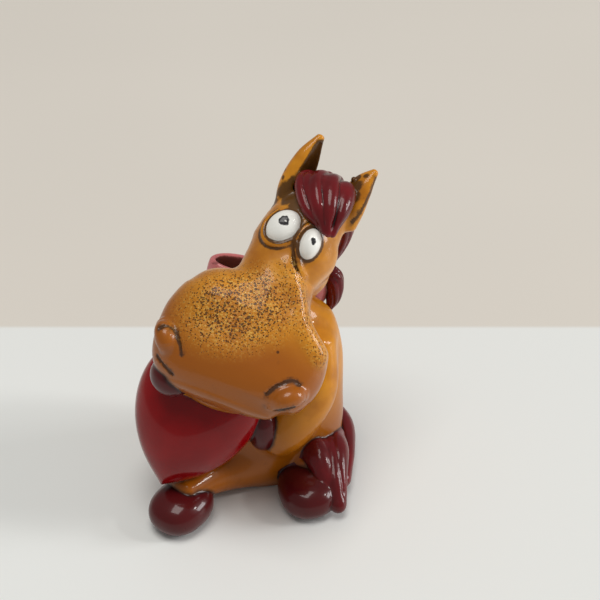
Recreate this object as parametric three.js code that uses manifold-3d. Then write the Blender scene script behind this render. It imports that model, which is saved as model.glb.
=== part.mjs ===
// A seated toy horse that hugs a heart, modelled the way a potter builds it: each limb, strand
// and ribbon is its own lump of clay, pressed against its neighbours with a thin slip line.
// Millimetres, +Z up. The horse looks towards -Y. Left and right are the onlooker's.

import * as THREE from 'three';
import { LoftGeometry } from 'three/addons/geometries/LoftGeometry.js';
import { mergeVertices } from 'three/addons/utils/BufferGeometryUtils.js';
import Module from 'manifold-3d';

const wasm = await Module();
wasm.setup();

const vec = (x, y, z) => new THREE.Vector3(x, y, z);
const radians = THREE.MathUtils.degToRad;
const mix = THREE.MathUtils.lerp;
const FORWARD = vec(0, -1, 0);
const UP = vec(0, 0, 1);

// Joints and the hidden underside
const SEAM = 0.3; // slip line between two lumps of clay
const HOLLOW_DIAMETER = 14; // scooped out of the underside, so that the clay fires evenly
const HOLLOW_DEPTH = 20;

// Torso and neck
const TORSO_WIDTH = 35.6;
const TORSO_DEPTH = 26;
const SHOULDER_HEIGHT = 38;
const SHOULDER_WIDTH = 31.6;
const NECK_WIDTH = 15.6;
const NECK_LENGTH = 13;
const NECK_LEAN = 7.4; // how far the neck's top lies to the right of the torso's middle

// Head: its own frame has the face towards +Z, the crown towards +Y and the eyes at y = 0
const HEAD_PITCH = 44; // degrees the face is raised from flat on the table
const HEAD_ROLL = 27; // degrees the crown leans to the right
const SKULL_WIDTH = 17;
const SKULL_DEPTH = 16;
const CROWN_HEIGHT = 9.5;
const PINCH_WIDTH = 15.7; // narrow place between the eyes and the muzzle
const MUZZLE_WIDTH = 34.6;
const MUZZLE_THICKNESS = 16.5;
const FACE_LENGTH = 36.6; // eye line to the end of the muzzle
const LIP_ROLL = 4.2;

// Eyes, ears and nostrils
const EYE_SPACING = 6.2;
const EYE_BULGE = 2.1;
const LARGE_EYE = { wide: 5.9, tall: 7.5, tilt: -24 };
const SMALL_EYE = { wide: 4.1, tall: 6.4, tilt: 5 };
const LID_ROLL = 1.7;
const LEFT_EAR_LENGTH = 17;
const RIGHT_EAR_LENGTH = 12.2;
const EAR_WIDTH = 7.4;
const EAR_SPACING = 11.2;
const NOSTRIL_SPACING = 26;
const NOSTRIL_LENGTH = 7;
const NOSTRIL_ROLL = 4.4;
const NOSTRIL_SPLAY = 48; // degrees

// Limbs
const HIND_LEG_THICKNESS = 9.5;
const HIND_HOOF = { wide: 12.4, long: 14.5, tall: 9 };
const FORELEG_THICKNESS = 9;
const LEFT_FORE_HOOF = { wide: 8, long: 9.5, tall: 8 };
const RIGHT_FORE_HOOF = { wide: 7, long: 8, tall: 11 };
const FOOT_WEAR = 0.6; // ground off below the hooves, so that the figure stands firmly

// Heart
const HEART_WIDTH = 26.5;
const HEART_HEIGHT = 31.5;
const HEART_THICKNESS = 16;
const HEART_TILT = 25; // degrees the tip swings to the left
const HEART_LEAN = 25; // degrees the heart leans back on the chest
const HEART_CLEFT = 0.55; // 1 is the deepest cleft and the sharpest tip

// Hair and ribbon
const FORELOCK_THICKNESS = 5;
const MANE_THICKNESS = 4.6;
const TAIL_THICKNESS = 7.2;
const RIBBON_WIDTH = 6;
const RIBBON_THICKNESS = 1.8;
const BOW_TILT = 13; // degrees the left loop is raised
const LOOP_LENGTH = 13.4;
const LOOP_HEIGHT = 7.8;

// A lump of clay rolled along a spine. Every station gives a centre and the half sizes there:
// wide to both sides, front towards the facing direction and back away from it. Its ends close
// in domes, start and end, whose reach is a share of the half width there.
class Lump {

	constructor(stations, facing, { sides = 12, steps = 2, start = 0.5, end = 0.5 } = {}) {
		this.spine = new THREE.CatmullRomCurve3(stations.map((s) => s.at));
		const knots = stations.map((s, i) => i / (stations.length - 1));
		const sizes = stations.flatMap((s) => [s.wide, s.front, s.back ?? s.front, s.square ?? 2]);
		this.sizes = new THREE.CubicInterpolant(knots, sizes, 4);
		this.facing = facing;
		this.sides = sides;
		this.rows = steps * (stations.length - 1);
		this.domes = { start, end };
	}

	// One ring of the skin, t of the way along; shrink and slide close the ends.
	ring(t, shrink = 1, slide = 0) {
		const along = this.spine.getTangent(t);
		const side = this.facing.clone().cross(along).normalize();
		const front = along.clone().cross(side);
		const centre = this.spine.getPoint(t).addScaledVector(along, slide);
		const [wide, ahead, behind, square] = this.sizes.evaluate(t);
		const bent = (v) => Math.sign(v) * Math.abs(v) ** (2 / square);
		return Array.from({ length: this.sides }, (_, i) => {
			const angle = (i / this.sides) * 2 * Math.PI;
			const depth = Math.sin(angle) > 0 ? ahead : behind;
			return centre.clone()
				.addScaledVector(side, bent(Math.cos(angle)) * wide * shrink)
				.addScaledVector(front, bent(Math.sin(angle)) * depth * shrink);
		});
	}

	// Shrinking rings close an end.
	dome(t, share) {
		const slopes = this.sides > 12 ? [83, 58, 30] : [78, 42];
		const [wide] = this.sizes.evaluate(t);
		return slopes.map(radians).map((a) => this.ring(t, Math.cos(a), share * wide * Math.sin(a)));
	}

	geometry() {
		const middle = Array.from({ length: this.rows + 1 }, (_, i) => this.ring(i / this.rows));
		const last = this.dome(1, this.domes.end).reverse();
		const rings = [...this.dome(0, -this.domes.start), ...middle, ...last];
		return new LoftGeometry(rings, { capStart: true, capEnd: true });
	}

}

// Keeps only the corners and faces of a geometry, with shared corners.
function bare(geometry) {
	const copy = new THREE.BufferGeometry();
	copy.setAttribute('position', geometry.getAttribute('position').clone());
	if (geometry.index) copy.setIndex(geometry.index.clone());
	return mergeVertices(copy, 1e-4);
}

// Turns a closed geometry into a solid that can be joined and cut.
function solid(geometry) {
	const clean = bare(geometry);
	return new wasm.Manifold(new wasm.Mesh({
		numProp: 3,
		vertProperties: clean.attributes.position.array,
		triVerts: new Uint32Array(clean.index.array),
	}));
}

// The same shape with its skin lifted by the width of a slip line.
function swollen(geometry) {
	const clean = bare(geometry);
	clean.computeVertexNormals();
	const { position, normal } = clean.attributes;
	const point = vec(0, 0, 0);
	const lift = vec(0, 0, 0);
	for (let i = 0; i < position.count; i++) {
		lift.fromBufferAttribute(normal, i);
		point.fromBufferAttribute(position, i).addScaledVector(lift, SEAM);
		position.setXYZ(i, ...point);
	}
	return solid(clean);
}

// Turns a solid back into a drawable geometry.
function drawable(made) {
	const { vertProperties, triVerts } = made.getMesh();
	const geometry = new THREE.BufferGeometry();
	geometry.setAttribute('position', new THREE.BufferAttribute(new Float32Array(vertProperties), 3));
	geometry.setIndex(new THREE.BufferAttribute(new Uint32Array(triVerts), 1));
	geometry.computeVertexNormals();
	return geometry;
}

// Scraps that a cut leaves loose are wiped off: only the largest body stays.
function largest(made) {
	return made.decompose().reduce((best, body) => (body.volume() > best.volume() ? body : best));
}

function ball({ wide, long, tall }, sides = 12) {
	const shape = new THREE.SphereGeometry(1, sides, Math.round(0.7 * sides));
	shape.rotateX(Math.PI / 2);
	return shape.scale(wide / 2, long / 2, tall / 2);
}

const glazes = {
	ochre: { color: 0xb2701c, roughness: 0.3, metalness: 0 },
	wine: { color: 0x6a1522, roughness: 0.22, metalness: 0 },
	red: { color: 0x8f0f18, roughness: 0.15, metalness: 0 },
	white: { color: 0xe9e7dc, roughness: 0.3, metalness: 0 },
	pink: { color: 0xc4717d, roughness: 0.3, metalness: 0 },
};

const tableSize = 6 * TORSO_WIDTH;
const table = solid(new THREE.BoxGeometry(tableSize, tableSize, tableSize).translate(0, 0, -tableSize / 2));
const pieces = [];

// Presses a lump onto those already placed: it gives way to each of them by a slip line. A
// scoop is cut from the lump itself.
function press(name, glaze, shape, scoop) {
	let made = solid(shape).subtract(table);
	if (scoop) made = made.subtract(solid(scoop));
	for (const other of pieces) made = made.subtract(other.skin);
	pieces.push({ name, glaze, skin: swollen(shape), body: largest(made) });
}

// A point given by shares of the torso: across to the right, ahead to the front, and a height
const torsoPoint = (across, ahead, height) =>
	vec(across * TORSO_WIDTH / 2, -ahead * TORSO_DEPTH / 2, height);
const neckTop = vec(NECK_LEAN, 0, SHOULDER_HEIGHT + NECK_LENGTH);
const napePoint = (part) => vec(0, 0, SHOULDER_HEIGHT).lerp(neckTop, part);

// Torso and neck: one pear of clay
function torso() {
	const wide = TORSO_WIDTH / 2;
	const deep = TORSO_DEPTH / 2;
	const shoulder = SHOULDER_WIDTH / 2;
	const neck = NECK_WIDTH / 2;
	const level = (part) => vec(0, 0, part * SHOULDER_HEIGHT);
	return new Lump([
		{ at: level(0), wide: 0.86 * wide, front: 0.9 * deep },
		{ at: level(0.24), wide, front: 1.04 * deep, back: deep },
		{ at: level(0.5), wide, front: deep },
		{ at: level(0.75), wide: mix(wide, shoulder, 0.3), front: 0.84 * deep, back: 0.94 * deep },
		{ at: level(0.93), wide: 0.95 * shoulder, front: 0.68 * deep, back: 0.84 * deep },
		{ at: napePoint(0.1), wide: mix(shoulder, neck, 0.28), front: 0.59 * deep, back: 0.7 * deep },
		{ at: napePoint(0.36), wide: mix(shoulder, neck, 0.82), front: 1.02 * neck },
		{ at: napePoint(0.66), wide: neck, front: 0.96 * neck },
		{ at: neckTop, wide: neck, front: 0.9 * neck },
	], FORWARD, { sides: 20, start: 0.1, end: 0.4 }).geometry();
}

function hollow() {
	const radius = HOLLOW_DIAMETER / 2;
	const point = (across, up) => new THREE.Vector2(across * radius, up * HOLLOW_DEPTH);
	const wall = new THREE.SplineCurve([point(1, -0.1), point(1, 0.65), point(0.72, 0.92), point(0, 1)]);
	const scoop = new THREE.LatheGeometry([point(0, -0.1), ...wall.getPoints(10)], 20);
	return scoop.rotateX(Math.PI / 2);
}

// Heart: it leans on the chest, to the left of the torso's middle
const heartFrame = new THREE.Matrix4()
	.makeRotationX(radians(90 - HEART_LEAN))
	.multiply(new THREE.Matrix4().makeRotationZ(radians(-HEART_TILT)))
	.setPosition(torsoPoint(-0.81, 1.12, 0.571 * SHOULDER_HEIGHT));
const heartPoint = (right, up, out) =>
	vec(right * HEART_WIDTH / 2, up * HEART_HEIGHT / 2, out * HEART_THICKNESS / 2).applyMatrix4(heartFrame);

// A ball whose corners slide along their own rays onto the heart surface
// (x² + 2.25z² + y² - 1)³ = (x² + 0.1125z²)y³.
function heart() {
	const shape = ball({ wide: 2, long: 2, tall: 2 }, 22);
	const points = shape.getAttribute('position');
	const ray = vec(0, 0, 0);
	for (let i = 0; i < points.count; i++) {
		ray.fromBufferAttribute(points, i).normalize();
		const even = ray.x ** 2 + ray.y ** 2 + 2.25 * ray.z ** 2;
		const lobes = HEART_CLEFT * (ray.x ** 2 + 0.1125 * ray.z ** 2) * ray.y ** 3;
		let inside = 0;
		let outside = 3;
		while (outside - inside > 1e-6) {
			const r = (inside + outside) / 2;
			if ((r * r * even - 1) ** 3 > r ** 5 * lobes) outside = r;
			else inside = r;
		}
		points.setXYZ(i, ...ray.multiplyScalar(inside));
	}
	shape.computeBoundingBox();
	const size = shape.boundingBox.getSize(vec(0, 0, 0));
	shape.center();
	shape.scale(HEART_WIDTH / size.x, HEART_HEIGHT / size.y, HEART_THICKNESS / size.z);
	return shape.applyMatrix4(heartFrame);
}

// Head: a narrow skull, pinched below the eyes, that swells into a broad muzzle
const headFrame = new THREE.Matrix4()
	.makeRotationFromEuler(new THREE.Euler(radians(HEAD_PITCH), 0, radians(-HEAD_ROLL)))
	.setPosition(neckTop.clone().add(vec(-0.01 * SKULL_WIDTH, -0.09 * SKULL_DEPTH, 0.35 * SKULL_DEPTH)));
const onHead = (shape) => shape.applyMatrix4(headFrame);

function head() {
	const skull = SKULL_WIDTH / 2;
	const pinch = PINCH_WIDTH / 2;
	const muzzle = MUZZLE_WIDTH / 2;
	const brow = SKULL_DEPTH / 2;
	const thick = MUZZLE_THICKNESS / 2;
	const at = (part, shift) => vec(shift * PINCH_WIDTH, -part * FACE_LENGTH, 0);
	return new Lump([
		{ at: vec(0.1 * PINCH_WIDTH, CROWN_HEIGHT, 0), wide: 0.72 * skull, front: 0.72 * brow, back: 0.9 * brow },
		{ at: at(-0.1, 0.02), wide: 0.94 * skull, front: 0.94 * brow, back: 1.08 * brow },
		{ at: at(0.05, 0.025), wide: 1.04 * skull, front: 0.96 * brow, back: 1.08 * brow },
		{ at: at(0.18, -0.005), wide: pinch, front: 0.92 * brow, back: brow },
		{ at: at(0.27, 0.02), wide: mix(pinch, muzzle, 0.12), front: 0.92 * thick },
		{ at: at(0.37, 0.025), wide: mix(pinch, muzzle, 0.48), front: 0.96 * thick, square: 2.1 },
		{ at: at(0.46, 0.03), wide: mix(pinch, muzzle, 0.83), front: thick, square: 2.3 },
		{ at: at(0.6, 0.02), wide: muzzle, front: thick, square: 2.4 },
		{ at: at(0.74, 0.005), wide: 0.97 * muzzle, front: 0.98 * thick, square: 2.4 },
		{ at: at(0.86, 0.012), wide: 0.87 * muzzle, front: 0.84 * thick, square: 2.2 },
		{ at: at(0.93, 0.03), wide: 0.66 * muzzle, front: 0.6 * thick },
	], UP, { sides: 24, start: 0.57, end: 0.16 }).geometry();
}

// The lower lip is a roll that shows as a thin rim under the muzzle, more of it to the left.
function lowerLip() {
	const roll = LIP_ROLL / 2;
	const stations = [-1, -0.6, -0.2, 0.2, 0.6, 1].map((part) => {
		const slim = roll * (1 - 0.35 * part ** 4);
		const reach = FACE_LENGTH * (1.02 - 0.2 * (part + 0.16) ** 2) - roll;
		const at = vec(part * 0.45 * MUZZLE_WIDTH, -reach, -0.34 * MUZZLE_THICKNESS);
		return { at, wide: slim, front: slim };
	});
	return new Lump(stations, UP, { sides: 8 }).geometry();
}

// Eyes are balls pressed into the brow; a thin roll makes a lid beside each of them.
const browLine = 0.47 * SKULL_DEPTH;
const leftEye = { ...LARGE_EYE, at: vec(-0.45 * EYE_SPACING, 0.13 * EYE_SPACING, 0) };
const rightEye = { ...SMALL_EYE, at: vec(0.55 * EYE_SPACING, 0, 0) };

function eyeBall({ wide, tall, tilt, at }) {
	const deep = 0.9 * LARGE_EYE.wide;
	return ball({ wide, long: tall, tall: deep }).rotateZ(radians(tilt))
		.translate(at.x, at.y, browLine + EYE_BULGE - deep / 2);
}

function eyelid({ wide, tall, tilt, at }, first, last) {
	const half = LID_ROLL / 2;
	const stations = [0, 0.25, 0.5, 0.75, 1].map((step) => {
		const angle = radians(mix(first, last, step));
		const rim = vec(Math.cos(angle) * (wide / 2 + 0.6 * half), Math.sin(angle) * (tall / 2 + 0.6 * half), 0);
		rim.applyAxisAngle(UP, radians(tilt)).add(at);
		rim.z = browLine - 0.85 / SKULL_WIDTH * rim.x ** 2;
		const swell = half * (0.6 + 0.4 * Math.sin(Math.PI * step));
		return { at: rim, wide: swell, front: swell };
	});
	return new Lump(stations, UP, { sides: 8 }).geometry();
}

// An ear is a cupped leaf: the scoop opens it towards its facing direction.
function ear(base, lean, length, facing) {
	const wide = EAR_WIDTH / 2;
	const reach = vec(lean, 0.9, 0.42).multiplyScalar(length);
	const bow = vec(-0.13 * EAR_WIDTH, 0, 0);
	const at = (part) => base.clone().addScaledVector(reach, part)
		.addScaledVector(bow, Math.sin(Math.PI * part));
	const lift = facing.clone().multiplyScalar(0.62 * wide);
	const leaf = new Lump([
		{ at: at(0), wide: 0.8 * wide, front: 0.6 * wide },
		{ at: at(0.35), wide, front: 0.66 * wide },
		{ at: at(0.72), wide: 0.74 * wide, front: 0.5 * wide },
		{ at: at(1), wide: 0.22 * wide, front: 0.2 * wide },
	], facing);
	const scoop = new Lump([
		{ at: at(0.1).add(lift), wide: 0.4 * wide, front: 0.35 * wide },
		{ at: at(0.4).add(lift), wide: 0.72 * wide, front: 0.7 * wide },
		{ at: at(0.9).add(lift), wide: 0.36 * wide, front: 0.5 * wide },
	], facing, { sides: 10 });
	return [leaf, scoop].map((lump) => onHead(lump.geometry()));
}

function nostril(side) {
	const splay = radians(NOSTRIL_SPLAY);
	const roll = NOSTRIL_ROLL / 2;
	const out = vec(side * Math.cos(splay), Math.sin(splay), 0).multiplyScalar(NOSTRIL_LENGTH / 2);
	const centre = vec(side * NOSTRIL_SPACING / 2, -0.785 * FACE_LENGTH, 0.3 * MUZZLE_THICKNESS);
	const at = (part, lift) => centre.clone().addScaledVector(out, part).addScaledVector(UP, lift * roll);
	return new Lump([
		{ at: at(-0.8, -0.4), wide: 0.62 * roll, front: 0.6 * roll },
		{ at: at(-0.2, 0.15), wide: roll, front: roll },
		{ at: at(0.4, 0.05), wide: 0.95 * roll, front: roll },
		{ at: at(0.8, -0.45), wide: 0.7 * roll, front: 0.7 * roll },
	], UP, { sides: 10, start: 0.9, end: 0.9 }).geometry();
}

// Limbs are rolls of clay, given by their joints and the swelling there.
function limb(thickness, facing, joints) {
	const half = thickness / 2;
	const stations = joints.map(([at, wide, tall = wide]) => ({ at, wide: wide * half, front: tall * half }));
	return new Lump(stations, facing).geometry();
}

const hoof = (size, heading, centre) => ball(size).rotateZ(radians(heading)).translate(...centre);

// The hind legs lie flat on the table; each ends on top of its hoof.
const hoofHeight = HIND_HOOF.tall / 2 - FOOT_WEAR;
const leftHindHoof = torsoPoint(-0.95, 1.67, hoofHeight);
const rightHindHoof = torsoPoint(0.55, 1.3, hoofHeight);
const legHeight = 0.58 * HIND_LEG_THICKNESS;

function leftHindLeg() {
	const { long, tall } = HIND_HOOF;
	return limb(HIND_LEG_THICKNESS, UP, [
		[torsoPoint(0.33, 0.45, legHeight), 1.1, 1.15],
		[torsoPoint(-0.06, 0.75, legHeight), 1.04],
		[torsoPoint(-0.51, 0.97, legHeight), 0.98],
		[leftHindHoof.clone().add(vec(0, 0.15 * long, 0.38 * tall)), 0.9, 0.62],
	]);
}

function rightHindLeg() {
	const { wide, long, tall } = HIND_HOOF;
	return limb(HIND_LEG_THICKNESS, UP, [
		[torsoPoint(0.5, -0.12, legHeight), 1.2, 1.1],
		[torsoPoint(0.67, 0.42, legHeight), 1.1],
		[rightHindHoof.clone().add(vec(0.1 * wide, 0.24 * long, 0.16 * tall)), 0.9],
	]);
}

// The forelegs come round the heart and hold it with their hooves.
const leftForeHoof = heartPoint(-0.57, 0.62, 1.28);
const rightForeHoof = heartPoint(1.09, 0.28, -0.23);

function leftForeleg() {
	const shoulder = torsoPoint(-0.29, 0.42, 0.87 * SHOULDER_HEIGHT);
	const { wide, long, tall } = LEFT_FORE_HOOF;
	const wrist = leftForeHoof.clone().add(vec(0.31 * wide, 0.15 * long, -0.25 * tall));
	const elbow = shoulder.clone().lerp(wrist, 0.55);
	return limb(FORELEG_THICKNESS, UP, [[shoulder, 1], [elbow, 0.9], [wrist, 0.75]]);
}

function rightForeleg() {
	const { wide, long, tall } = RIGHT_FORE_HOOF;
	const hoofAt = (x, y, z) => rightForeHoof.clone().add(vec(x * wide, y * long, z * tall));
	return limb(FORELEG_THICKNESS, FORWARD, [
		[torsoPoint(0.56, 0.42, 0.92 * SHOULDER_HEIGHT), 1.3, 1],
		[torsoPoint(0.57, 0.76, 0.68 * SHOULDER_HEIGHT), 1.3, 1.1],
		[hoofAt(0.71, 0.11, -0.14), 1.05],
		[hoofAt(0.34, 0.07, -0.41), 0.8],
	]);
}

// Hair: a strand swells from its root and tapers to its tip.
function strand(points, thickness, facing, tip = 0.3) {
	const taper = new THREE.CubicInterpolant([0, 0.25, 0.5, 0.75, 1], [0.72, 1, 0.92, 0.7, tip], 1);
	const stations = points.map((at, i) => {
		const [swell] = taper.evaluate(i / (points.length - 1));
		return { at, wide: swell * thickness / 2, front: swell * thickness / 2 };
	});
	return new Lump(stations, facing, { sides: 8, start: 1, end: 1.2 }).geometry();
}

// The forelock falls from the crown over the brow; its strands meet again between the eyes.
function forelockStrand(spread) {
	const thick = FORELOCK_THICKNESS;
	const sink = spread ** 2;
	const point = (across, up, out) =>
		vec(across * thick, CROWN_HEIGHT + up * thick, SKULL_DEPTH / 2 + out * thick);
	return onHead(strand([
		point(0.2 + 0.56 * spread, 1.08 - 0.3 * sink, -1.3),
		point(0.2 + 0.78 * spread, 0.46 + 0.12 * spread, -0.2 - 0.32 * sink),
		point(0.64 + 0.58 * spread, -0.46 + 0.18 * spread, 0.24 - 0.26 * sink),
		point(1.08 + 0.24 * spread, -1.32 + 0.12 * Math.abs(spread), 0.2 - 0.12 * Math.abs(spread)),
	], thick, UP));
}

// The bow lies on the nape; its loops are flat rings of ribbon.
const bowCentre = napePoint(0.25).add(vec(-0.03 * NECK_WIDTH, 0.345 * TORSO_DEPTH, 0));
const bowFrame = new THREE.Matrix4().makeRotationY(radians(BOW_TILT)).setPosition(bowCentre);
const onNape = (shape) => shape.applyMatrix4(bowFrame);

function ribbonKnot() {
	return onNape(ball({ wide: 0.4 * LOOP_LENGTH, long: 0.87 * LOOP_HEIGHT, tall: 1.2 * RIBBON_WIDTH }));
}

function ribbonLoop(side) {
	const middle = side * LOOP_LENGTH / 2;
	const outline = new THREE.Shape();
	outline.absellipse(middle, 0, LOOP_LENGTH / 2, LOOP_HEIGHT / 2, 0, 2 * Math.PI);
	const opening = new THREE.Path();
	opening.absellipse(middle, 0, LOOP_LENGTH / 2 - RIBBON_THICKNESS,
		LOOP_HEIGHT / 2 - RIBBON_THICKNESS, 0, 2 * Math.PI);
	outline.holes.push(opening);
	const edge = RIBBON_THICKNESS / 4;
	const ring = new THREE.ExtrudeGeometry(outline, {
		depth: RIBBON_WIDTH - 2 * edge,
		curveSegments: 16,
		bevelSize: edge,
		bevelThickness: edge,
		bevelOffset: -edge,
		bevelSegments: 1,
	});
	return onNape(ring.translate(0, 0, edge - RIBBON_WIDTH / 2));
}

// The mane falls from the crown down the right of the nape to the bow.
const manePoint = (across, behind, part) =>
	napePoint(part).add(vec(across * NECK_WIDTH, NECK_WIDTH / 2 + behind * MANE_THICKNESS, 0));
const maneFacing = vec(0, 1, 0.3).normalize();

function maneStrand(spread) {
	const fan = (share) => vec(share * spread * MANE_THICKNESS, 0, 0);
	const tuck = vec(0, -0.39 * spread ** 2 * MANE_THICKNESS, 0);
	const crownHeight = CROWN_HEIGHT + 0.22 * MANE_THICKNESS;
	const crown = onHead(vec(0.09 * SKULL_WIDTH, crownHeight, 0.06 * SKULL_DEPTH));
	const skullBack = onHead(vec(0.13 * SKULL_WIDTH, CROWN_HEIGHT, -SKULL_DEPTH / 2));
	return strand([
		crown.add(fan(0.35)).addScaledVector(tuck, 0.5),
		skullBack.add(fan(0.87)).add(tuck),
		manePoint(0.31, 0.65, 0.885).add(fan(1.04)).add(tuck),
		manePoint(0.33, 0.5, 0.46).add(fan(1.04)).add(tuck),
	], MANE_THICKNESS, maneFacing);
}

// The last lock of the mane curls round the end of the right loop.
function curledLock() {
	const point = (past, behind, up) =>
		onNape(vec(LOOP_LENGTH + past * MANE_THICKNESS, behind * MANE_THICKNESS, up * RIBBON_WIDTH));
	return strand([
		point(-0.72, 0.24, 0.87),
		point(0.02, 0, 0.62),
		point(0.28, -0.17, -0.07),
		point(0.2, -0.3, -0.68),
	], MANE_THICKNESS, maneFacing);
}

// The tail lies round the right hip, with two strands over the hoof; a row holds shares of the
// torso across and ahead, and of the tail's thickness up.
const tailRoutes = [
	[[0.11, -0.89, 0.97], [0.61, -0.83, 0.69], [0.96, -0.35, 0.61], [1.03, 0.38, 0.61], [0.99, 1.03, 0.56]],
	[[0.89, 0.34, 1.11], [0.87, 0.76, 1.17], [0.89, 1.22, 0.92], [0.92, 1.57, 0.5]],
	[[0.64, 0.57, 1.25], [0.67, 0.85, 1.3], [0.76, 1.22, 0.97], [0.78, 1.52, 0.5]],
];
const tailStrand = (route) => strand(
	route.map(([across, ahead, up]) => torsoPoint(across, ahead, up * TAIL_THICKNESS)),
	TAIL_THICKNESS, UP, 0.55);

// The order is the potter's: the later lump gives way to the earlier one.
press('heart', 'red', heart());
press('torso', 'ochre', torso(), hollow());
press('foreleg_left', 'ochre', leftForeleg());
press('fore_hoof_left', 'wine', hoof(LEFT_FORE_HOOF, 40, leftForeHoof));
press('head', 'ochre', onHead(head()));
press('lower_lip', 'ochre', onHead(lowerLip()));
press('eye_left', 'white', onHead(eyeBall(leftEye)));
press('eye_right', 'white', onHead(eyeBall(rightEye)));
press('eyelid_left', 'ochre', onHead(eyelid(leftEye, -200, 0)));
press('eyelid_right', 'ochre', onHead(eyelid(rightEye, 75, 235)));

const leftEarBase = vec(-0.26 * SKULL_WIDTH, 0.58 * CROWN_HEIGHT, -0.09 * SKULL_DEPTH);
const rightEarBase = leftEarBase.clone().add(vec(EAR_SPACING, 0.34 * CROWN_HEIGHT, 0.03 * SKULL_DEPTH));
const leftEarFacing = vec(0.75, -0.1, 0.6).normalize();
const rightEarFacing = vec(0.6, -0.1, -0.8).normalize();
press('ear_left', 'ochre', ...ear(leftEarBase, -0.02, LEFT_EAR_LENGTH, leftEarFacing));
press('ear_right', 'ochre', ...ear(rightEarBase, 0.1, RIGHT_EAR_LENGTH, rightEarFacing));
press('nostril_left', 'ochre', onHead(nostril(-1)));
press('nostril_right', 'ochre', onHead(nostril(1)));

press('hind_leg_left', 'ochre', leftHindLeg());
press('hind_leg_right', 'ochre', rightHindLeg());
press('hind_hoof_left', 'wine', hoof(HIND_HOOF, -35, leftHindHoof));
press('hind_hoof_right', 'wine', hoof(HIND_HOOF, 15, rightHindHoof));
press('foreleg_right', 'ochre', rightForeleg());
press('fore_hoof_right', 'wine', hoof(RIGHT_FORE_HOOF, 0, rightForeHoof));

for (const [i, spread] of [-1, -0.4, 0.25, 0.95].entries()) {
	press(`forelock_strand_${i + 1}`, 'wine', forelockStrand(spread));
}
press('ribbon_knot', 'pink', ribbonKnot());
press('ribbon_loop_left', 'pink', ribbonLoop(-1));
press('ribbon_loop_right', 'pink', ribbonLoop(1));
for (const [i, spread] of [-1, -0.5, 0, 0.5, 1].entries()) {
	press(`mane_strand_${i + 1}`, 'wine', maneStrand(spread));
}
press('mane_curl', 'wine', curledLock());
for (const [i, route] of tailRoutes.entries()) {
	press(`tail_strand_${i + 1}`, 'wine', tailStrand(route));
}

// The figure is handed over standing on the middle of its own floor plan.
const plan = new THREE.Box3();
for (const { body } of pieces) {
	const { min, max } = body.boundingBox();
	plan.expandByPoint(vec(...min)).expandByPoint(vec(...max));
}
const middle = plan.getCenter(vec(0, 0, 0));

const figurine = new THREE.Group();
figurine.name = 'horse_with_heart';
for (const { name, glaze, body } of pieces) {
	const geometry = drawable(body).translate(-middle.x, -middle.y, 0);
	const mesh = new THREE.Mesh(geometry, new THREE.MeshStandardMaterial(glazes[glaze]));
	mesh.name = name;
	figurine.add(mesh);
}

export default figurine;
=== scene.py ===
"""A seated ceramic horse that hugs a heart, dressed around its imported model.

The clay is described by distance functions: every limb, strand and ribbon is a lump, and
neighbouring lumps meet in a small fillet, as wet clay does. Each lump then becomes a mesh of
its own. Sizes are millimetres with +Z up, and the horse looks towards -Y; the meshes are
written in metres. Left and right are the onlooker's.
"""

import logging
import math
from collections.abc import Callable, Sequence
from dataclasses import dataclass, field
from enum import Enum

import bpy
import numpy as np
from mathutils import Matrix


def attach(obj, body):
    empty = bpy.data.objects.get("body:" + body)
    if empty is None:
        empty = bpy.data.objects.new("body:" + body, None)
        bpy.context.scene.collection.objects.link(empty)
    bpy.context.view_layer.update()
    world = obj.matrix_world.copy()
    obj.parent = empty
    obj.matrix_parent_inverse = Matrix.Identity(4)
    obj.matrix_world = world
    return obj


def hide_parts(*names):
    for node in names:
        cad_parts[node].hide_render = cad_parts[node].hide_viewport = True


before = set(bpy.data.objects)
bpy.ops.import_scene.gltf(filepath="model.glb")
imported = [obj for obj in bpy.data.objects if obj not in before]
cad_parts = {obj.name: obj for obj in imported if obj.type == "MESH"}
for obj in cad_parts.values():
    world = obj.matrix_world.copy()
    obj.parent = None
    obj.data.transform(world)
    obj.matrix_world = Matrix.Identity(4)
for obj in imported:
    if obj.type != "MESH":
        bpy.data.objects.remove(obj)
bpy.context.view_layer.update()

Array = np.ndarray
Vec = tuple[float, float, float]
Marks = dict[str, Callable[[Array], Array]]

LOG = logging.getLogger("horse")
MILLIMETRE = 0.001
BODY = "root"

FAR = 50.0  # distance given to clay that is too far away to matter
MARGIN = 2.4  # how far round a lump its distance is worked out
CHUNK = 40000  # points worked out at a time
BLOCK = 4  # grid cells along the side of a block that is first looked at as a whole
TABLE_FILLET = 0.5  # roundness of the rim where the clay stands on the table
GLAZE_FILLET = 0.35  # width of the fillet where two glazes meet
OVERLAP = 0.5  # how far a lump reaches under its neighbour
SINK = 0.5  # slope with which it dives under it
INSET = 0.04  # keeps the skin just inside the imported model's box
COVERED = 0.8  # share of the overlap beyond which a lump is out of sight
BAND_BLOCKS = 1.8  # how many blocks round the skin are worked out cell by cell
BAND_EXTRA = 0.3  # what is added to that band
FILLET_REACH = 0.4  # how far beyond its fillet a lump is felt
TINY = 1e-4  # keeps a slope from being zero

# The modelling frame has the torso's axis at the origin; the figure stands on the middle of its
# own floor plan.
PLAN_SHIFT = np.array([1.186, 7.692, 0.0])

FORWARD = np.array([0.0, -1.0, 0.0])
UP = np.array([0.0, 0.0, 1.0])


def vec(x: float, y: float, z: float) -> Array:
    """Gives a point or direction as an array."""
    return np.array([x, y, z], float)


def unit(direction: Array) -> Array:
    """Gives directions their unit length."""
    return direction / np.linalg.norm(direction, axis=-1, keepdims=True)


def mix(a: float, b: float, share: float) -> float:
    """Gives the value that lies a share of the way from a to b."""
    return a + (b - a) * share


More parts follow.
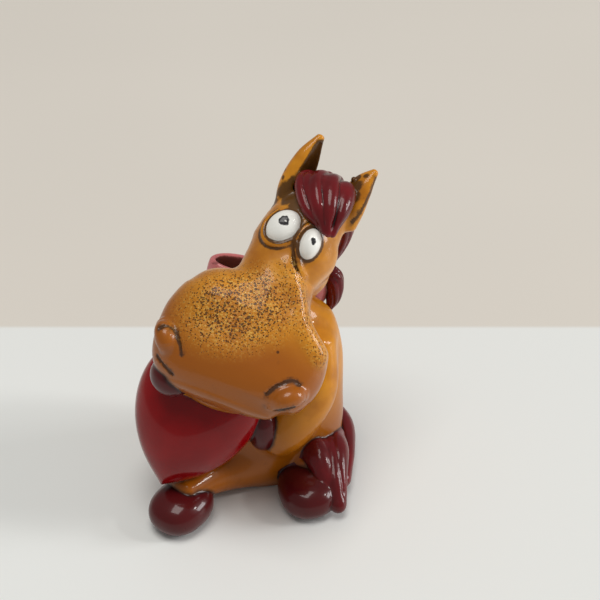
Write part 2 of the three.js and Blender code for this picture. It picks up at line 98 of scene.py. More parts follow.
def turn(axis: int, degrees: float) -> Array:
    """Makes a rotation matrix.

    Args:
        axis: 0, 1 or 2 for X, Y or Z.
        degrees: The angle, by the right-hand rule.

    Returns:
        A 3 by 3 matrix.
    """
    c, s = math.cos(math.radians(degrees)), math.sin(math.radians(degrees))
    i, j = (axis + 1) % 3, (axis + 2) % 3
    matrix = np.eye(3)
    matrix[i, i] = matrix[j, j] = c
    matrix[j, i] = s
    matrix[i, j] = -s
    return matrix


def step(values: Array, low: float, high: float) -> Array:
    """Rises smoothly from 0 at low to 1 at high."""
    share = np.clip((values - low) / (high - low), 0.0, 1.0)
    return share * share * (3.0 - 2.0 * share)


def smooth_min(a: Array, b: Array, width: float) -> Array:
    """Joins two distances, with a fillet of the given width between them."""
    near = np.maximum(width - np.abs(a - b), 0.0)
    return np.minimum(a, b) - near * near * (0.25 / width)


def smooth_max(a: Array, b: Array, width: float) -> Array:
    """Keeps what two distances share, with a rounded edge of the given width."""
    return -smooth_min(-a, -b, width)


def to_skin(reach: Array, slope: Array) -> Array:
    """Gives the distance to an oval's skin from a reach, 1 on the skin, and how fast it grows."""
    return (reach - 1) * reach / np.maximum(slope, TINY)


def stretches(rows: Array, times: Array) -> tuple[Array, list[Array]]:
    """Finds the rows round each time, with one more row added beyond either end.

    Args:
        rows: One row for each knot of a curve.
        times: Where to look, from 0 to the number of rows less one.

    Returns:
        How far each time is past its row, in a column, and the row before, both rows next to it
        and the row after, in four arrays.
    """
    padded = np.vstack([2 * rows[0] - rows[1], rows, 2 * rows[-1] - rows[-2]])
    first = np.minimum(times.astype(int), len(rows) - 2)
    return (times - first)[:, None], [padded[first + i] for i in range(4)]


def even(rows: Array, times: Array) -> Array:
    """Follows an evenly spaced cubic through rows of numbers.

    Args:
        rows: One row for each station.
        times: Where to look, from 0 to the number of rows less one.

    Returns:
        One row for each time.
    """
    w, (p0, p1, p2, p3) = stretches(rows, times)
    leave, reach = (p2 - p0) / 2, (p3 - p1) / 2
    return p1 + w * (leave + w * (3 * (p2 - p1) - 2 * leave - reach
                                  + w * (2 * (p1 - p2) + leave + reach)))


@dataclass(frozen=True)
class Place:
    """A rotation and an origin: where a shape sits in the modelling frame."""

    matrix: Array = field(default_factory=lambda: np.eye(3))
    origin: Array = field(default_factory=lambda: np.zeros(3))

    def out(self, points: Array) -> Array:
        """Takes points from this place to the modelling frame."""
        return points @ self.matrix.T + self.origin

    def into(self, points: Array) -> Array:
        """Takes points from the modelling frame to this place."""
        return (points - self.origin) @ self.matrix


class Form:
    """A solid clay shape, given by its distance function."""

    def distance(self, points: Array) -> Array:
        """Gives the signed distance of each row of X, Y and Z, negative inside."""
        parts = [self.measure(points[i:i + CHUNK]) for i in range(0, len(points), CHUNK)]
        return np.concatenate(parts).astype(np.float32)

    def measure(self, points: Array) -> Array:
        """Does the work of distance for a chunk of points."""
        raise NotImplementedError

    def box(self) -> tuple[Array, Array]:
        """Gives the lowest and highest corner round the shape."""
        raise NotImplementedError


class Placed(Form):
    """A form with a place and half sizes of its own."""

    place: Place
    half: Array

    def box(self) -> tuple[Array, Array]:
        """Gives the lowest and highest corner round the shape."""
        reach = np.linalg.norm(self.place.matrix * self.half, axis=1)
        return self.place.origin - reach, self.place.origin + reach


@dataclass(frozen=True)
class Station:
    """A centre on a lump's spine and the half sizes there."""

    at: Array
    wide: float
    front: float
    back: float | None = None
    square: float = 2.0

    def row(self) -> list[float]:
        """Gives the half sizes as a row of numbers."""
        return [self.wide, self.front, self.front if self.back is None else self.back, self.square]


class Lump(Form):
    """A lump of clay rolled along a smooth spine, with domed ends."""

    FINE = 6  # samples on each stretch of the spine
    NUDGE = 1e-3  # step along the spine with which its direction is found

    def __init__(self, stations: Sequence[Station], facing: Array, start: float = 0.5,
                 end: float = 0.5, place: Place = Place(), grooves: "Grooves | None" = None):
        """Samples the spine.

        Args:
            stations: The centres and half sizes that the lump passes through.
            facing: The direction that its front looks in.
            start: Reach of the first dome, as a share of the half width there.
            end: Reach of the last dome.
            place: Where the stations and the facing direction are.
            grooves: Lines combed into the skin, if any.
        """
        knots = np.array([s.at for s in stations], float)
        times = np.linspace(0.0, len(knots) - 1.0, (len(knots) - 1) * self.FINE + 1)
        centre = self._spine(knots, times)
        before = self._spine(knots, np.maximum(times - self.NUDGE, 0.0))
        after = self._spine(knots, np.minimum(times + self.NUDGE, times[-1]))
        along = unit(after - before)
        side = unit(np.cross(facing, along))
        front = np.cross(along, side)
        sizes = even(np.array([s.row() for s in stations]), times)
        pace = np.linalg.norm(np.gradient(centre, axis=0), axis=1)
        turned = [part @ place.matrix.T for part in (along, side, front)]
        centre = place.out(centre)
        self.table = np.hstack([centre, *turned, sizes, pace[:, None]]).astype(np.float32)
        self.plain = bool(np.all(sizes[:, 3] == 2.0))
        self.domes = (start * sizes[0, 0], end * sizes[-1, 0])
        self.half = sizes[:, :3].max(axis=1)
        self.grooves = grooves

    @staticmethod
    def _spine(knots: Array, times: Array) -> Array:
        """Follows a centripetal Catmull-Rom curve.

        Args:
            knots: The points it passes through.
            times: Where to look, from 0 to the number of points less one.

        Returns:
            One point for each time.
        """
        w, (p0, p1, p2, p3) = stretches(knots, times)
        pairs = ((p0, p1), (p1, p2), (p2, p3))
        gaps = [np.linalg.norm(b - a, axis=1)[:, None] ** 0.5 for a, b in pairs]
        middle = (p2 - p1) / gaps[1]
        leave = ((p1 - p0) / gaps[0] - (p2 - p0) / (gaps[0] + gaps[1]) + middle) * gaps[1]
        reach = (middle - (p3 - p1) / (gaps[1] + gaps[2]) + (p3 - p2) / gaps[2]) * gaps[1]
        bend = -3 * p1 + 3 * p2 - 2 * leave - reach
        return p1 + w * (leave + w * (bend + w * (2 * p1 - 2 * p2 + leave + reach)))

    def _rows(self, where: Array) -> Array:
        """Reads the table between its rows.

        Args:
            where: Places in the table, between its rows.

        Returns:
            One row for each place.
        """
        low = np.minimum(where.astype(int), len(self.table) - 2)
        share = (where - low)[:, None]
        return self.table[low] * (1 - share) + self.table[low + 1] * share

    def nearest(self, points: Array) -> Array:
        """Finds where on the spine each point belongs.

        Args:
            points: Rows of X, Y and Z.

        Returns:
            Places in the table, between its rows.
        """
        centres = self.table[:, :3]
        gaps = (centres * centres).sum(axis=1) - 2 * points @ centres.T
        where = gaps.argmin(axis=1).astype(np.float32)
        for _ in range(2):
            rows = self._rows(where)
            ahead = ((points - rows[:, :3]) * rows[:, 3:6]).sum(axis=1)
            where = np.clip(where + ahead / rows[:, 16], 0, len(self.table) - 1)
        return where

    def measure(self, points: Array) -> Array:
        """Does the work of distance for a chunk of points.

        Args:
            points: Rows of X, Y and Z in the modelling frame.

        Returns:
            One distance for each row.
        """
        points = points.astype(np.float32)
        where = self.nearest(points)
        rows = self._rows(where)
        offset = points - rows[:, :3]
        ahead = (offset * rows[:, 3:6]).sum(axis=1)
        across = (offset * rows[:, 6:9]).sum(axis=1)
        out = (offset * rows[:, 9:12]).sum(axis=1)
        wide = rows[:, 12]
        deep = np.where(out > 0, rows[:, 13], rows[:, 14])
        over = np.where(where <= 0, np.maximum(-ahead, 0) / self.domes[0], 0)
        over = np.where(where >= len(self.table) - 1, np.maximum(ahead, 0) / self.domes[1], over)
        reach = np.where(where <= 0, self.domes[0], self.domes[1])
        u, v = across / wide, out / deep
        if self.plain:
            ring = u * u + v * v
        else:
            power = rows[:, 15]
            ring = (np.abs(u) ** power + np.abs(v) ** power) ** (2 / power)
        reach_out = np.sqrt(ring + over * over)
        slope = np.sqrt((u / wide) ** 2 + (v / deep) ** 2 + (over / reach) ** 2)
        result = to_skin(reach_out, slope)
        if self.grooves:
            angle = np.arctan2(v, u)
            result = result + self.grooves.depth_at(angle, where / (len(self.table) - 1))
        return result

    def box(self) -> tuple[Array, Array]:
        """Gives the lowest and highest corner round the shape.

        Returns:
            Both corners.
        """
        centres = self.table[:, :3]
        reach = np.maximum(self.half, max(self.domes))[:, None]
        return (centres - reach).min(axis=0), (centres + reach).max(axis=0)


class Stack(Lump):
    """A lump whose ovals all lie level, so that it can lean without folding."""

    def __init__(self, stations: Sequence[Station], start: float, end: float):
        """Samples the spine and lays every oval level; the arguments are a lump's own."""
        super().__init__(stations, FORWARD, start, end)
        self.table[:, 3:12] = np.concatenate([UP, np.cross(FORWARD, UP), FORWARD])

    def nearest(self, points: Array) -> Array:
        """Finds the oval at each point's own height."""
        rows = np.arange(len(self.table))
        return np.interp(points[:, 2], self.table[:, 2], rows).astype(np.float32)


@dataclass(frozen=True)
class Grooves:
    """Lines combed into a strand of hair."""

    count: int
    depth: float
    twist: float = 0.5
    phase: float = 0.0

    def depth_at(self, angle: Array, along: Array) -> Array:
        """Gives how deep the comb went.

        Args:
            angle: The angle round the strand, in radians.
            along: How far along the strand, from 0 to 1.

        Returns:
            The depth in millimetres.
        """
        wave = self.count * (angle + self.twist * along) + self.phase
        wander = 0.7 * np.sin(2 * angle + 5 * along + self.phase)
        cut = np.abs(np.sin(0.5 * (wave + wander)))
        fade = step(along, 0.0, 0.12) * (1 - step(along, 0.88, 1.0))
        return self.depth * (1 - cut) ** 1.5 * fade


class Ball(Placed):
    """An egg-shaped lump."""

    def __init__(self, size: Vec, centre: Array, matrix: Array, place: Place = Place(),
                 square: float = 2.0):
        """Places the egg.

        Args:
            size: Its width, length and height.
            centre: Its middle.
            matrix: How it is turned.
            place: Where the centre and the matrix are given.
            square: 2 for an egg; more for one with fuller corners.
        """
        self.square = square
        self.half = np.array(size) / 2
        self.place = Place(place.matrix @ matrix, place.out(centre))

    def measure(self, points: Array) -> Array:
        """Does the work of distance for a chunk of points.

        Args:
            points: Rows of X, Y and Z in the modelling frame.

        Returns:
            One distance for each row.
        """
        local = self.place.into(points)
        shares = np.abs(local / self.half)
        reach = (shares ** self.square).sum(axis=1) ** (1 / self.square)
        slope = np.linalg.norm(local / self.half ** 2, axis=1)
        return to_skin(reach, slope)


class Joined(Form):
    """Several forms blended into one, or cut by others."""

    def __init__(self, core: Form, added: Sequence[tuple[Form, float]] = (),
                 cut: Sequence[tuple[Form, float]] = ()):
        """Keeps the forms.

        Args:
            core: The main form.
            added: Forms that are blended onto it, each with the width of its fillet.
            cut: Forms that are scooped out of it, each with the width of its rim.
        """
        self.core = core
        self.added = added
        self.cut = cut

    def measure(self, points: Array) -> Array:
        """Does the work of distance for a chunk of points.

        Args:
            points: Rows of X, Y and Z in the modelling frame.

        Returns:
            One distance for each row.
        """
        result = self.core.measure(points)
        for form, width in self.added:
            near = self._near(form, points)
            result[near] = smooth_min(result[near], form.measure(points[near]), width)
        for form, width in self.cut:
            near = self._near(form, points)
            result[near] = smooth_max(result[near], -form.measure(points[near]), width)
        return result

    @staticmethod
    def _near(form: Form, points: Array) -> Array:
        """Finds the points that a form can touch."""
        low, high = form.box()
        return np.all((points > low - MARGIN) & (points < high + MARGIN), axis=1)

    def box(self) -> tuple[Array, Array]:
        """Gives the lowest and highest corner round the shape."""
        boxes = [self.core.box()] + [form.box() for form, _ in self.added]
        return np.min([b[0] for b in boxes], axis=0), np.max([b[1] for b in boxes], axis=0)


class HeartForm(Placed):
    """The puffed heart (x² + 2.25z² + y² - 1)³ = (x² + 0.1125z²)y³, with a softened cleft."""

    FARTHEST = 3.0  # no point of the natural heart is as far from its origin
    HALVINGS = 22  # how often the search for the skin halves its stretch
    DEEPEST = -3  # lowest share of the reach that a point inside is given
    CAUTION = 0.88  # keeps the distance from being given too large

    def __init__(self, size: Vec, cleft: float, place: Place):
        """Finds the heart's natural size, so that it can be stretched to the wanted one.

        Args:
            size: Its width, height and thickness.
            cleft: 1 gives the deepest cleft and the sharpest tip.
            place: Its middle, with Y towards its cleft and Z out of its face.
        """
        self.cleft = cleft
        self.place = place
        self.half = np.array(size) / 2
        turns = np.linspace(0, 2 * math.pi, 121)[:, None]
        tilts = np.linspace(-math.pi / 2, math.pi / 2, 61)[None, :]
        x, y = np.cos(turns) * np.cos(tilts), np.sin(turns) * np.cos(tilts)
        rays = np.stack(np.broadcast_arrays(x, y, np.sin(tilts)), axis=-1).reshape(-1, 3)
        skin = rays * self._radius(rays)[:, None]
        low, high = skin.min(axis=0), skin.max(axis=0)
        self.middle = (low + high) / 2
        self.scale = np.array(size) / (high - low)

    def _radius(self, rays: Array) -> Array:
        """Finds the skin along rays from the heart's own origin by halving.

        Args:
            rays: Rows of unit directions.

        Returns:
            One radius for each ray.
        """
        x2, y, z2 = rays[:, 0] ** 2, rays[:, 1], rays[:, 2] ** 2
        even = x2 + y ** 2 + 2.25 * z2
        lobes = self.cleft * (x2 + 0.1125 * z2) * y ** 3
        inside, outside = np.zeros(len(rays)), np.full(len(rays), self.FARTHEST)
        for _ in range(self.HALVINGS):
            radius = (inside + outside) / 2
            beyond = (radius ** 2 * even - 1) ** 3 > radius ** 5 * lobes
            outside = np.where(beyond, radius, outside)
            inside = np.where(beyond, inside, radius)
        return inside

    def measure(self, points: Array) -> Array:
        """Does the work of distance for a chunk of points.

        Args:
            points: Rows of X, Y and Z in the modelling frame.

        Returns:
            One distance for each row.
        """
        local = self.place.into(points)
        natural = local / self.scale + self.middle
        reach = np.maximum(np.linalg.norm(natural, axis=1), 1e-3)
        rays = natural / reach[:, None]
        share = 1 - self._radius(rays) / reach
        length = np.linalg.norm(natural * self.scale, axis=1)
        return length * np.maximum(share, self.DEEPEST) * self.CAUTION


class Loop(Placed):
    """A flat ring of ribbon: an elliptical band that stands on its edge."""

    def __init__(self, length: float, height: float, width: float, thickness: float,
                 side: int, place: Place):
        """Keeps the sizes.

        Args:
            length: How far the loop reaches from the knot.
            height: Its size from front to back.
            width: Width of the ribbon.
            thickness: Thickness of the ribbon.
            side: -1 for the left loop and 1 for the right one.
            place: The bow's own frame.
        """
        self.half = vec(length / 2, height / 2, width / 2)
        self.thickness = thickness
        self.place = Place(place.matrix, place.out(vec(side * length / 2, 0, 0)))

    def _outer(self, local: Array) -> Array:
        """Gives the distance to the loop's outer wall.

        Args:
            local: Rows of X, Y and Z in the loop's own place.

        Returns:
            One distance for each row.
        """
        flat, half = local[:, :2], self.half[:2]
        reach = np.linalg.norm(flat / half, axis=1)
        slope = np.linalg.norm(flat / half ** 2, axis=1)
        return to_skin(reach, slope)

    def inside(self, points: Array) -> Array:
        """Says which points lie on the loop's inner wall, which is painted dark as shade."""
        outer = self._outer(self.place.into(points))
        return 0.85 * step(-outer, 0.6 * self.thickness, 0.95 * self.thickness)

    def measure(self, points: Array) -> Array:
        """Does the work of distance for a chunk of points.

        Args:
            points: Rows of X, Y and Z in the modelling frame.

        Returns:
            One distance for each row.
        """
        local = self.place.into(points)
        outer = self._outer(local)
        crown = 0.25 * (local[:, 2] / self.half[2]) ** 2
        band = np.abs(outer + self.thickness / 2) - self.thickness / 2 + crown
        return smooth_max(band, np.abs(local[:, 2]) - self.half[2], 0.9)


@dataclass
class Part:
    """One named lump of the figure."""

    name: str
    form: Form
    finish: "Finish"
    blend: float = 0.3
    cell: float = 0.4
    marks: Marks = field(default_factory=dict)


class Mesher:
    """Turns a field of distances on a grid into a skin of quads."""

    KEPT = 0.4  # share of a corner's own place that stays when corners are evened out
    EVENED = 0.6  # share of its neighbours' middle
    FLATTEST = 0.05  # keeps a weak slope from throwing a corner far away

    def __init__(self, values: Array, low: Array, cell: float):
        """Keeps the grid.

        Args:
            values: Distances at the grid's points.
            low: The first point, in millimetres.
            cell: The distance between points.
        """
        self.values = values
        self.low = low
        self.cell = cell

    def read(self, values: Array, points: Array) -> Array:
        """Reads a grid between its points.

        Args:
            values: Values on this grid.
            points: Rows of X, Y and Z in millimetres.

        Returns:
            One value for each row.
        """
        place = (points - self.low) / self.cell
        limit = np.array(values.shape) - 2
        base = np.clip(np.floor(place).astype(int), 0, limit)
        share = np.clip(place - base, 0.0, 1.0)
        result = np.zeros(len(points))
        for corner in range(8):
            bits = np.array([corner & 1, corner >> 1 & 1, corner >> 2 & 1])
            weight = np.prod(np.where(bits, share, 1 - share), axis=1)
            i, j, k = (base + bits).T
            result += weight * values[i, j, k]
        return result

    def slope(self, values: Array, points: Array) -> Array:
        """Finds the direction in which a grid's values rise.

        Args:
            values: Values on this grid.
            points: Rows of X, Y and Z in millimetres.

        Returns:
            One direction for each row, not of unit length.
        """
        nudge = 0.5 * self.cell
        rises = []
        for axis in range(3):
            offset = np.zeros(3)
            offset[axis] = nudge
            rises.append(self.read(values, points + offset) - self.read(values, points - offset))
        return np.stack(rises, axis=1) / (2 * nudge)

    def skin(self) -> tuple[Array, Array]:
        """Lays one corner in each cell that the surface crosses, and joins them by quads.

        Returns:
            The corners in millimetres, and rows of four corner numbers.
        """
        shape = self.values.shape
        flat = self.values.ravel()
        strides = (shape[1] * shape[2], shape[2], 1)
        cells, places, quads = [], [], []
        for axis in range(3):
            s, sb, sc = strides[axis], strides[(axis + 1) % 3], strides[(axis + 2) % 3]
            grid = np.moveaxis(self.values, axis, 0)
            crossing = (grid[:-1] < 0) != (grid[1:] < 0)
            found = np.stack(np.nonzero(crossing), axis=1)
            index = np.insert(found[:, 1:], axis, found[:, 0], axis=1)
            start = index @ np.array(strides)
            a, b = flat[start], flat[start + s]
            place = index.astype(float)
            place[:, axis] += a / (a - b)
            round_edge = np.stack([start, start - sb, start - sb - sc, start - sc], axis=1)
            outward = (a < 0)[:, None]
            quads.append(np.where(outward, round_edge, round_edge[:, ::-1]))
            cells.append(round_edge.ravel())
            places.append(np.repeat(place, 4, axis=0))
        used, corner = np.unique(np.concatenate(cells), return_inverse=True)
        weights = np.bincount(corner)
        place = np.concatenate(places)
        points = np.stack([np.bincount(corner, place[:, k]) / weights for k in range(3)], axis=1)
        faces = np.searchsorted(used, np.concatenate(quads))
        return points * self.cell + self.low, faces

    def settle(self, points: Array, faces: Array, rounds: int = 3) -> Array:
        """Evens out the corners and puts them back on the surface.

        Args:
            points: The corners.
            faces: Rows of four corner numbers.
            rounds: How often both are done.

        Returns:
            The corners' new places.
        """
        a = np.concatenate([faces[:, i] for i in range(4)])
        b = np.concatenate([faces[:, (i + 1) % 4] for i in range(4)])
        ends, starts = np.concatenate([a, b]), np.concatenate([b, a])
        weights = np.bincount(ends, minlength=len(points))[:, None]
        for _ in range(rounds):
            sums = [np.bincount(ends, points[starts, k], len(points)) for k in range(3)]
            points = self.KEPT * points + self.EVENED * np.stack(sums, axis=1) / weights
            for _ in range(2):
                rise = self.slope(self.values, points)
                steep = np.maximum((rise * rise).sum(axis=1), self.FLATTEST)
                move = self.read(self.values, points) / steep
                limit = 0.5 * self.cell / np.sqrt(steep)
                points = points - rise * np.clip(move, -limit, limit)[:, None]
        return points

    def blurred(self, values: Array, radius: float) -> Array:
        """Softens values on this grid.

        Args:
            values: Values on this grid.
            radius: Standard deviation of the blur, in millimetres.

        Returns:
            The softened values.
        """
        result = values
        for _ in range(max(1, round(2 * (radius / self.cell) ** 2))):
            for axis in range(3):
                grid = np.moveaxis(result, axis, 0)
                wide = np.concatenate([grid[:1], grid, grid[-1:]])
                grid = 0.25 * wide[:-2] + 0.5 * wide[1:-1] + 0.25 * wide[2:]
                result = np.moveaxis(grid, 0, axis)
        return result


def largest_island(points: Array, faces: Array) -> tuple[Array, Array]:
    """Keeps only the largest connected skin.

    Args:
        points: The corners.
        faces: Rows of four corner numbers.

    Returns:
        The corners and faces that stay.
    """
    label = np.arange(len(points))
    a, b = faces.ravel(), np.roll(faces, 1, axis=1).ravel()
    while True:
        low = np.minimum(label[a], label[b])
        fresh = label.copy()
        np.minimum.at(fresh, label[a], low)
        np.minimum.at(fresh, label[b], low)
        fresh = fresh[fresh]
        if np.array_equal(fresh, label):
            break
        label = fresh
    kept = label == np.bincount(label).argmax()
    number = np.cumsum(kept) - 1
    return points[kept], number[faces[kept[faces[:, 0]]]]


class Clay:
    """All the lumps together: it knows where each ends and its neighbours begin."""

    CREASE_REACH = 0.45  # how far the skin is softened to find its creases
    HOLLOW_REACH = 1.3  # the same for broad hollows

    def __init__(self, parts: Sequence[Part], coarse: float):
        """Keeps the lumps in the potter's order, and how much coarser than usual to be."""
        self.parts = parts
        self.coarse = coarse

    def shape(self, part: Part) -> bpy.types.Object:
        """Makes one lump's mesh.

        Args:
            part: The lump.

        Returns:
            Its object, with the attributes that the finishes use.
        """
        cell = part.cell * self.coarse
        low, high = part.form.box()
        low = low - MARGIN
        counts = np.ceil((high + MARGIN - low) / (BLOCK * cell)).astype(int)
        axes = [low[k] + cell * np.arange(BLOCK * counts[k]) for k in range(3)]
        middles = [axis.reshape(-1, BLOCK).mean(axis=1) for axis in axes]
        rough = self._fields(part, middles, np.ones(counts, bool), np.full((4, *counts), FAR))
        away = np.abs(self._whole(rough[0], rough[1] - rough[2]))
        near = away < BAND_BLOCKS * BLOCK * cell + BAND_EXTRA
        wanted = self._repeated(near)
        start = np.where(wanted, FAR, np.stack([self._repeated(grid) for grid in rough]))
        fields = self._fields(part, axes, wanted, start.astype(np.float32))
        skin, lead, joint = fields[0], fields[1] - fields[2], fields[3]
        drop = np.broadcast_to(-axes[2][None, None, :], skin.shape)
        skin = smooth_max(skin + INSET, drop, TABLE_FILLET)
        whole = self._whole(skin, lead)
        mesher = Mesher(whole, low, cell)
        points, faces = largest_island(*mesher.skin())
        points = mesher.settle(points, faces)
        normals = mesher.slope(skin, points)
        covered = mesher.read(lead, points) > COVERED * OVERLAP
        normals[covered] = mesher.slope(whole, points[covered])
        values = {
            "crease": (skin - mesher.blurred(skin, self.CREASE_REACH)) / self.CREASE_REACH ** 2,
            "hollow": (skin - mesher.blurred(skin, self.HOLLOW_REACH)) / self.HOLLOW_REACH ** 2,
            "joint": joint,
        }
        attributes = {name: mesher.read(grid, points) for name, grid in values.items()}
        for name, mark in part.marks.items():
            attributes[name] = mark(points)
        return self._object(part.name, points, faces, unit(normals), attributes)

    @staticmethod
    def _repeated(grid: Array) -> Array:
        """Gives each block's value to all the cells in it.

        Args:
            grid: One value for each block.

        Returns:
            One value for each cell.
        """
        for axis in range(3):
            grid = np.repeat(grid, BLOCK, axis=axis)
        return grid

    @staticmethod
    def _whole(skin: Array, lead: Array) -> Array:
        """Closes a skin under the neighbours that lead a lump by a distance."""
        return np.maximum(skin + SINK * np.maximum(lead, 0), lead - OVERLAP)

    def _fields(self, part: Part, axes: list[Array], wanted: Array, start: Array) -> Array:
        """Works out the distances on a grid round one lump.

        Args:
            part: The lump.
            axes: The grid's X, Y and Z.
            wanted: Which of the grid's points are worked out.
            start: What the four fields hold elsewhere.

        Returns:
            The distances to the blended skin, to the lump itself, to its nearest neighbour and
            to the nearest neighbour of another glaze.
        """
        skin, own, rest, joint = start
        glazes = {slot: skin.copy() for slot in Slot}
        for other in self.parts:
            low, high = other.form.box()
            margin = max(MARGIN, other.blend + FILLET_REACH)
            spans = []
            for k, axis in enumerate(axes):
                near = np.nonzero((axis > low[k] - margin) & (axis < high[k] + margin))[0]
                spans.append(slice(near[0], near[-1] + 1) if len(near) else slice(0, 0))
            span = tuple(spans)
            inside = wanted[span]
            if not inside.any():
                continue
            picked = np.nonzero(inside)
            points = np.stack([a[s][i] for a, s, i in zip(axes, span, picked)], axis=1)
            found = other.form.distance(points)
            slot = other.finish.slot
            glaze = glazes[slot][span]
            glaze[inside] = smooth_min(glaze[inside], found, other.blend)
            if other is part:
                own[span][inside] = found
                continue
            rest[span][inside] = np.minimum(rest[span][inside], found)
            if slot is not part.finish.slot:
                joint[span][inside] = np.minimum(joint[span][inside], found)
        for glaze in glazes.values():
            skin[wanted] = smooth_min(skin[wanted], glaze[wanted], GLAZE_FILLET)
        return np.stack([skin, own, rest, joint])

    @staticmethod
    def _object(name: str, points: Array, faces: Array, normals: Array,
                attributes: dict[str, Array]) -> bpy.types.Object:
        """Writes the mesh.

        Args:
            name: The object's name.
            points: The corners, in millimetres and in the modelling frame.
            faces: Rows of four corner numbers.
            normals: The skin's direction at each corner.
            attributes: A value for each corner, by name.

        Returns:
            The new object.
        """
        mesh = bpy.data.meshes.new(f"{name}_glazed")
        placed = (points + PLAN_SHIFT) * MILLIMETRE
        placed[:, 2] = np.maximum(placed[:, 2], 0.0)
        mesh.vertices.add(len(points))
        mesh.vertices.foreach_set("co", placed.astype(np.float32).ravel())
        mesh.loops.add(faces.size)
        mesh.loops.foreach_set("vertex_index", faces.astype(np.int32).ravel())
        mesh.polygons.add(len(faces))
        mesh.polygons.foreach_set("loop_start", np.arange(0, faces.size, 4, dtype=np.int32))
        mesh.update(calc_edges=True)
        mesh.polygons.foreach_set("use_smooth", np.ones(len(faces), bool))
        for key, values in attributes.items():
            layer = mesh.attributes.new(key, "FLOAT", "POINT")
            layer.data.foreach_set("value", values.astype(np.float32))
        mesh.normals_split_custom_set_from_vertices(normals.tolist())
        made = bpy.data.objects.new(f"{name}_glazed", mesh)
        bpy.context.scene.collection.objects.link(made)
        return made


class Value:
    """A shader socket that takes part in arithmetic."""

    def __init__(self, graph: "Graph", socket: bpy.types.NodeSocket | None):
        """Wraps a socket of a graph."""
        self.graph = graph
        self.socket = socket

    def __add__(self, other: "Value | float") -> "Value":
        """Adds."""
        return self.graph.maths("ADD", self, other)

    def __radd__(self, other: float) -> "Value":
        """Adds from the left."""
        return self.graph.maths("ADD", other, self)

    def __sub__(self, other: "Value | float") -> "Value":
        """Subtracts."""
        return self.graph.maths("SUBTRACT", self, other)

    def __rsub__(self, other: float) -> "Value":
        """Subtracts from a number."""
        return self.graph.maths("SUBTRACT", other, self)

    def __mul__(self, other: "Value | float") -> "Value":
        """Multiplies."""
        return self.graph.maths("MULTIPLY", self, other)

    def __rmul__(self, other: float) -> "Value":
        """Multiplies from the left."""
        return self.graph.maths("MULTIPLY", other, self)

    def __truediv__(self, other: "Value | float") -> "Value":
        """Divides."""
        return self.graph.maths("DIVIDE", self, other)

    def __rtruediv__(self, other: float) -> "Value":
        """Divides a number."""
        return self.graph.maths("DIVIDE", other, self)

    def over(self, low: float, high: float) -> "Value":
        """Rises smoothly from 0 to 1.

        Args:
            low: Where it is still 0.
            high: Where it becomes 1, which may be below low.

        Returns:
            The risen value.
        """
        settings = {"interpolation_type": "SMOOTHSTEP"}
        links = {"Value": self, "From Min": low, "From Max": high}
        return self.graph.node("ShaderNodeMapRange", settings, links)

    def larger(self, other: "Value | float") -> "Value":
        """Takes the larger of two values."""
        return self.graph.maths("MAXIMUM", self, other)


class Graph:
    """The node graph of a material or of the world."""

    def __init__(self, owner: bpy.types.Material | bpy.types.World):
        """Empties the graph of a material or world.

        Args:
            owner: The material or world.
        """
        owner.use_nodes = True
        self.owner = owner
        self.nodes = owner.node_tree.nodes
        self.links = owner.node_tree.links
        self.nodes.clear()

    def node(self, kind: str, settings: dict | None = None, sockets: dict | None = None,
             output: str | int = 0) -> Value:
        """Adds a node.

        Args:
            kind: The node's type.
            settings: Its properties, which are set first.
            sockets: Values or links for its inputs, by name or number.
            output: Which output to wrap.

        Returns:
            The output, as a value.
        """
        made = self.nodes.new(kind)
        for key, value in (settings or {}).items():
            setattr(made, key, value)
        for key, value in (sockets or {}).items():
            if isinstance(value, Value):
                self.links.new(value.socket, made.inputs[key])
            else:
                made.inputs[key].default_value = value
        return Value(self, made.outputs[output] if made.outputs else None)

    def maths(self, operation: str, a: "Value | float", b: "Value | float") -> Value:
        """Adds a Math node for two numbers."""
        return self.node("ShaderNodeMath", {"operation": operation}, {0: a, 1: b})

    def blend(self, share: "Value | float", a: "Value | tuple", b: "Value | tuple") -> Value:
        """Mixes a colour with a share of a second one."""
        settings = {"data_type": "RGBA", "blend_type": "MIX", "clamp_factor": True}
        return self.node("ShaderNodeMix", settings, {0: share, 6: a, 7: b}, 2)

    def mark(self, name: str) -> Value:
        """Reads one of the mesh's attributes."""
        return self.node("ShaderNodeAttribute", {"attribute_name": name}, output="Fac")

    def place(self) -> Value:
        """Gives the point on the object, in metres."""
        return self.node("ShaderNodeTexCoord", output="Object")

    def noise(self, size: float, detail: float = 2.0, rough: float = 0.5,
              seed: float = 0.0) -> Value:
        """Adds cloudy noise.

        Args:
            size: Size of its clouds, in millimetres.
            detail: How many finer layers it has.
            rough: How strong these are.
            seed: Chooses another noise.

        Returns:
            A value round 0.5.
        """
        sockets = {"Vector": self.place(), "W": seed, "Scale": 1 / (size * MILLIMETRE),
                   "Detail": detail, "Roughness": rough}
        return self.node("ShaderNodeTexNoise", {"noise_dimensions": "4D"}, sockets, "Fac")

    def cells(self, size: float) -> Value:
        """Scatters points that lie a size in millimetres apart, and gives how far away one is."""
        sockets = {"Vector": self.place(), "Scale": 1 / (size * MILLIMETRE)}
        return self.node("ShaderNodeTexVoronoi", None, sockets, "Distance")

    def surface(self, sockets: dict) -> None:
        """Ends the graph in a principled surface with the given inputs."""
        skin = self.node("ShaderNodeBsdfPrincipled", None, sockets)
        self.node("ShaderNodeOutputMaterial", None, {"Surface": skin})


def colour(red: int, green: int, blue: int) -> tuple[float, float, float, float]:
    """Turns a colour as seen on a screen into the linear one that a shader needs.

    Args:
        red: Its red, from 0 to 255.
        green: Its green.
        blue: Its blue.

    Returns:
        Its red, green, blue and alpha, from 0 to 1.
    """
    def line(value: int) -> float:
        """Straightens one channel."""
        share = value / 255
        return share / 12.92 if share <= 0.04045 else ((share + 0.055) / 1.055) ** 2.4
    return line(red), line(green), line(blue), 1.0


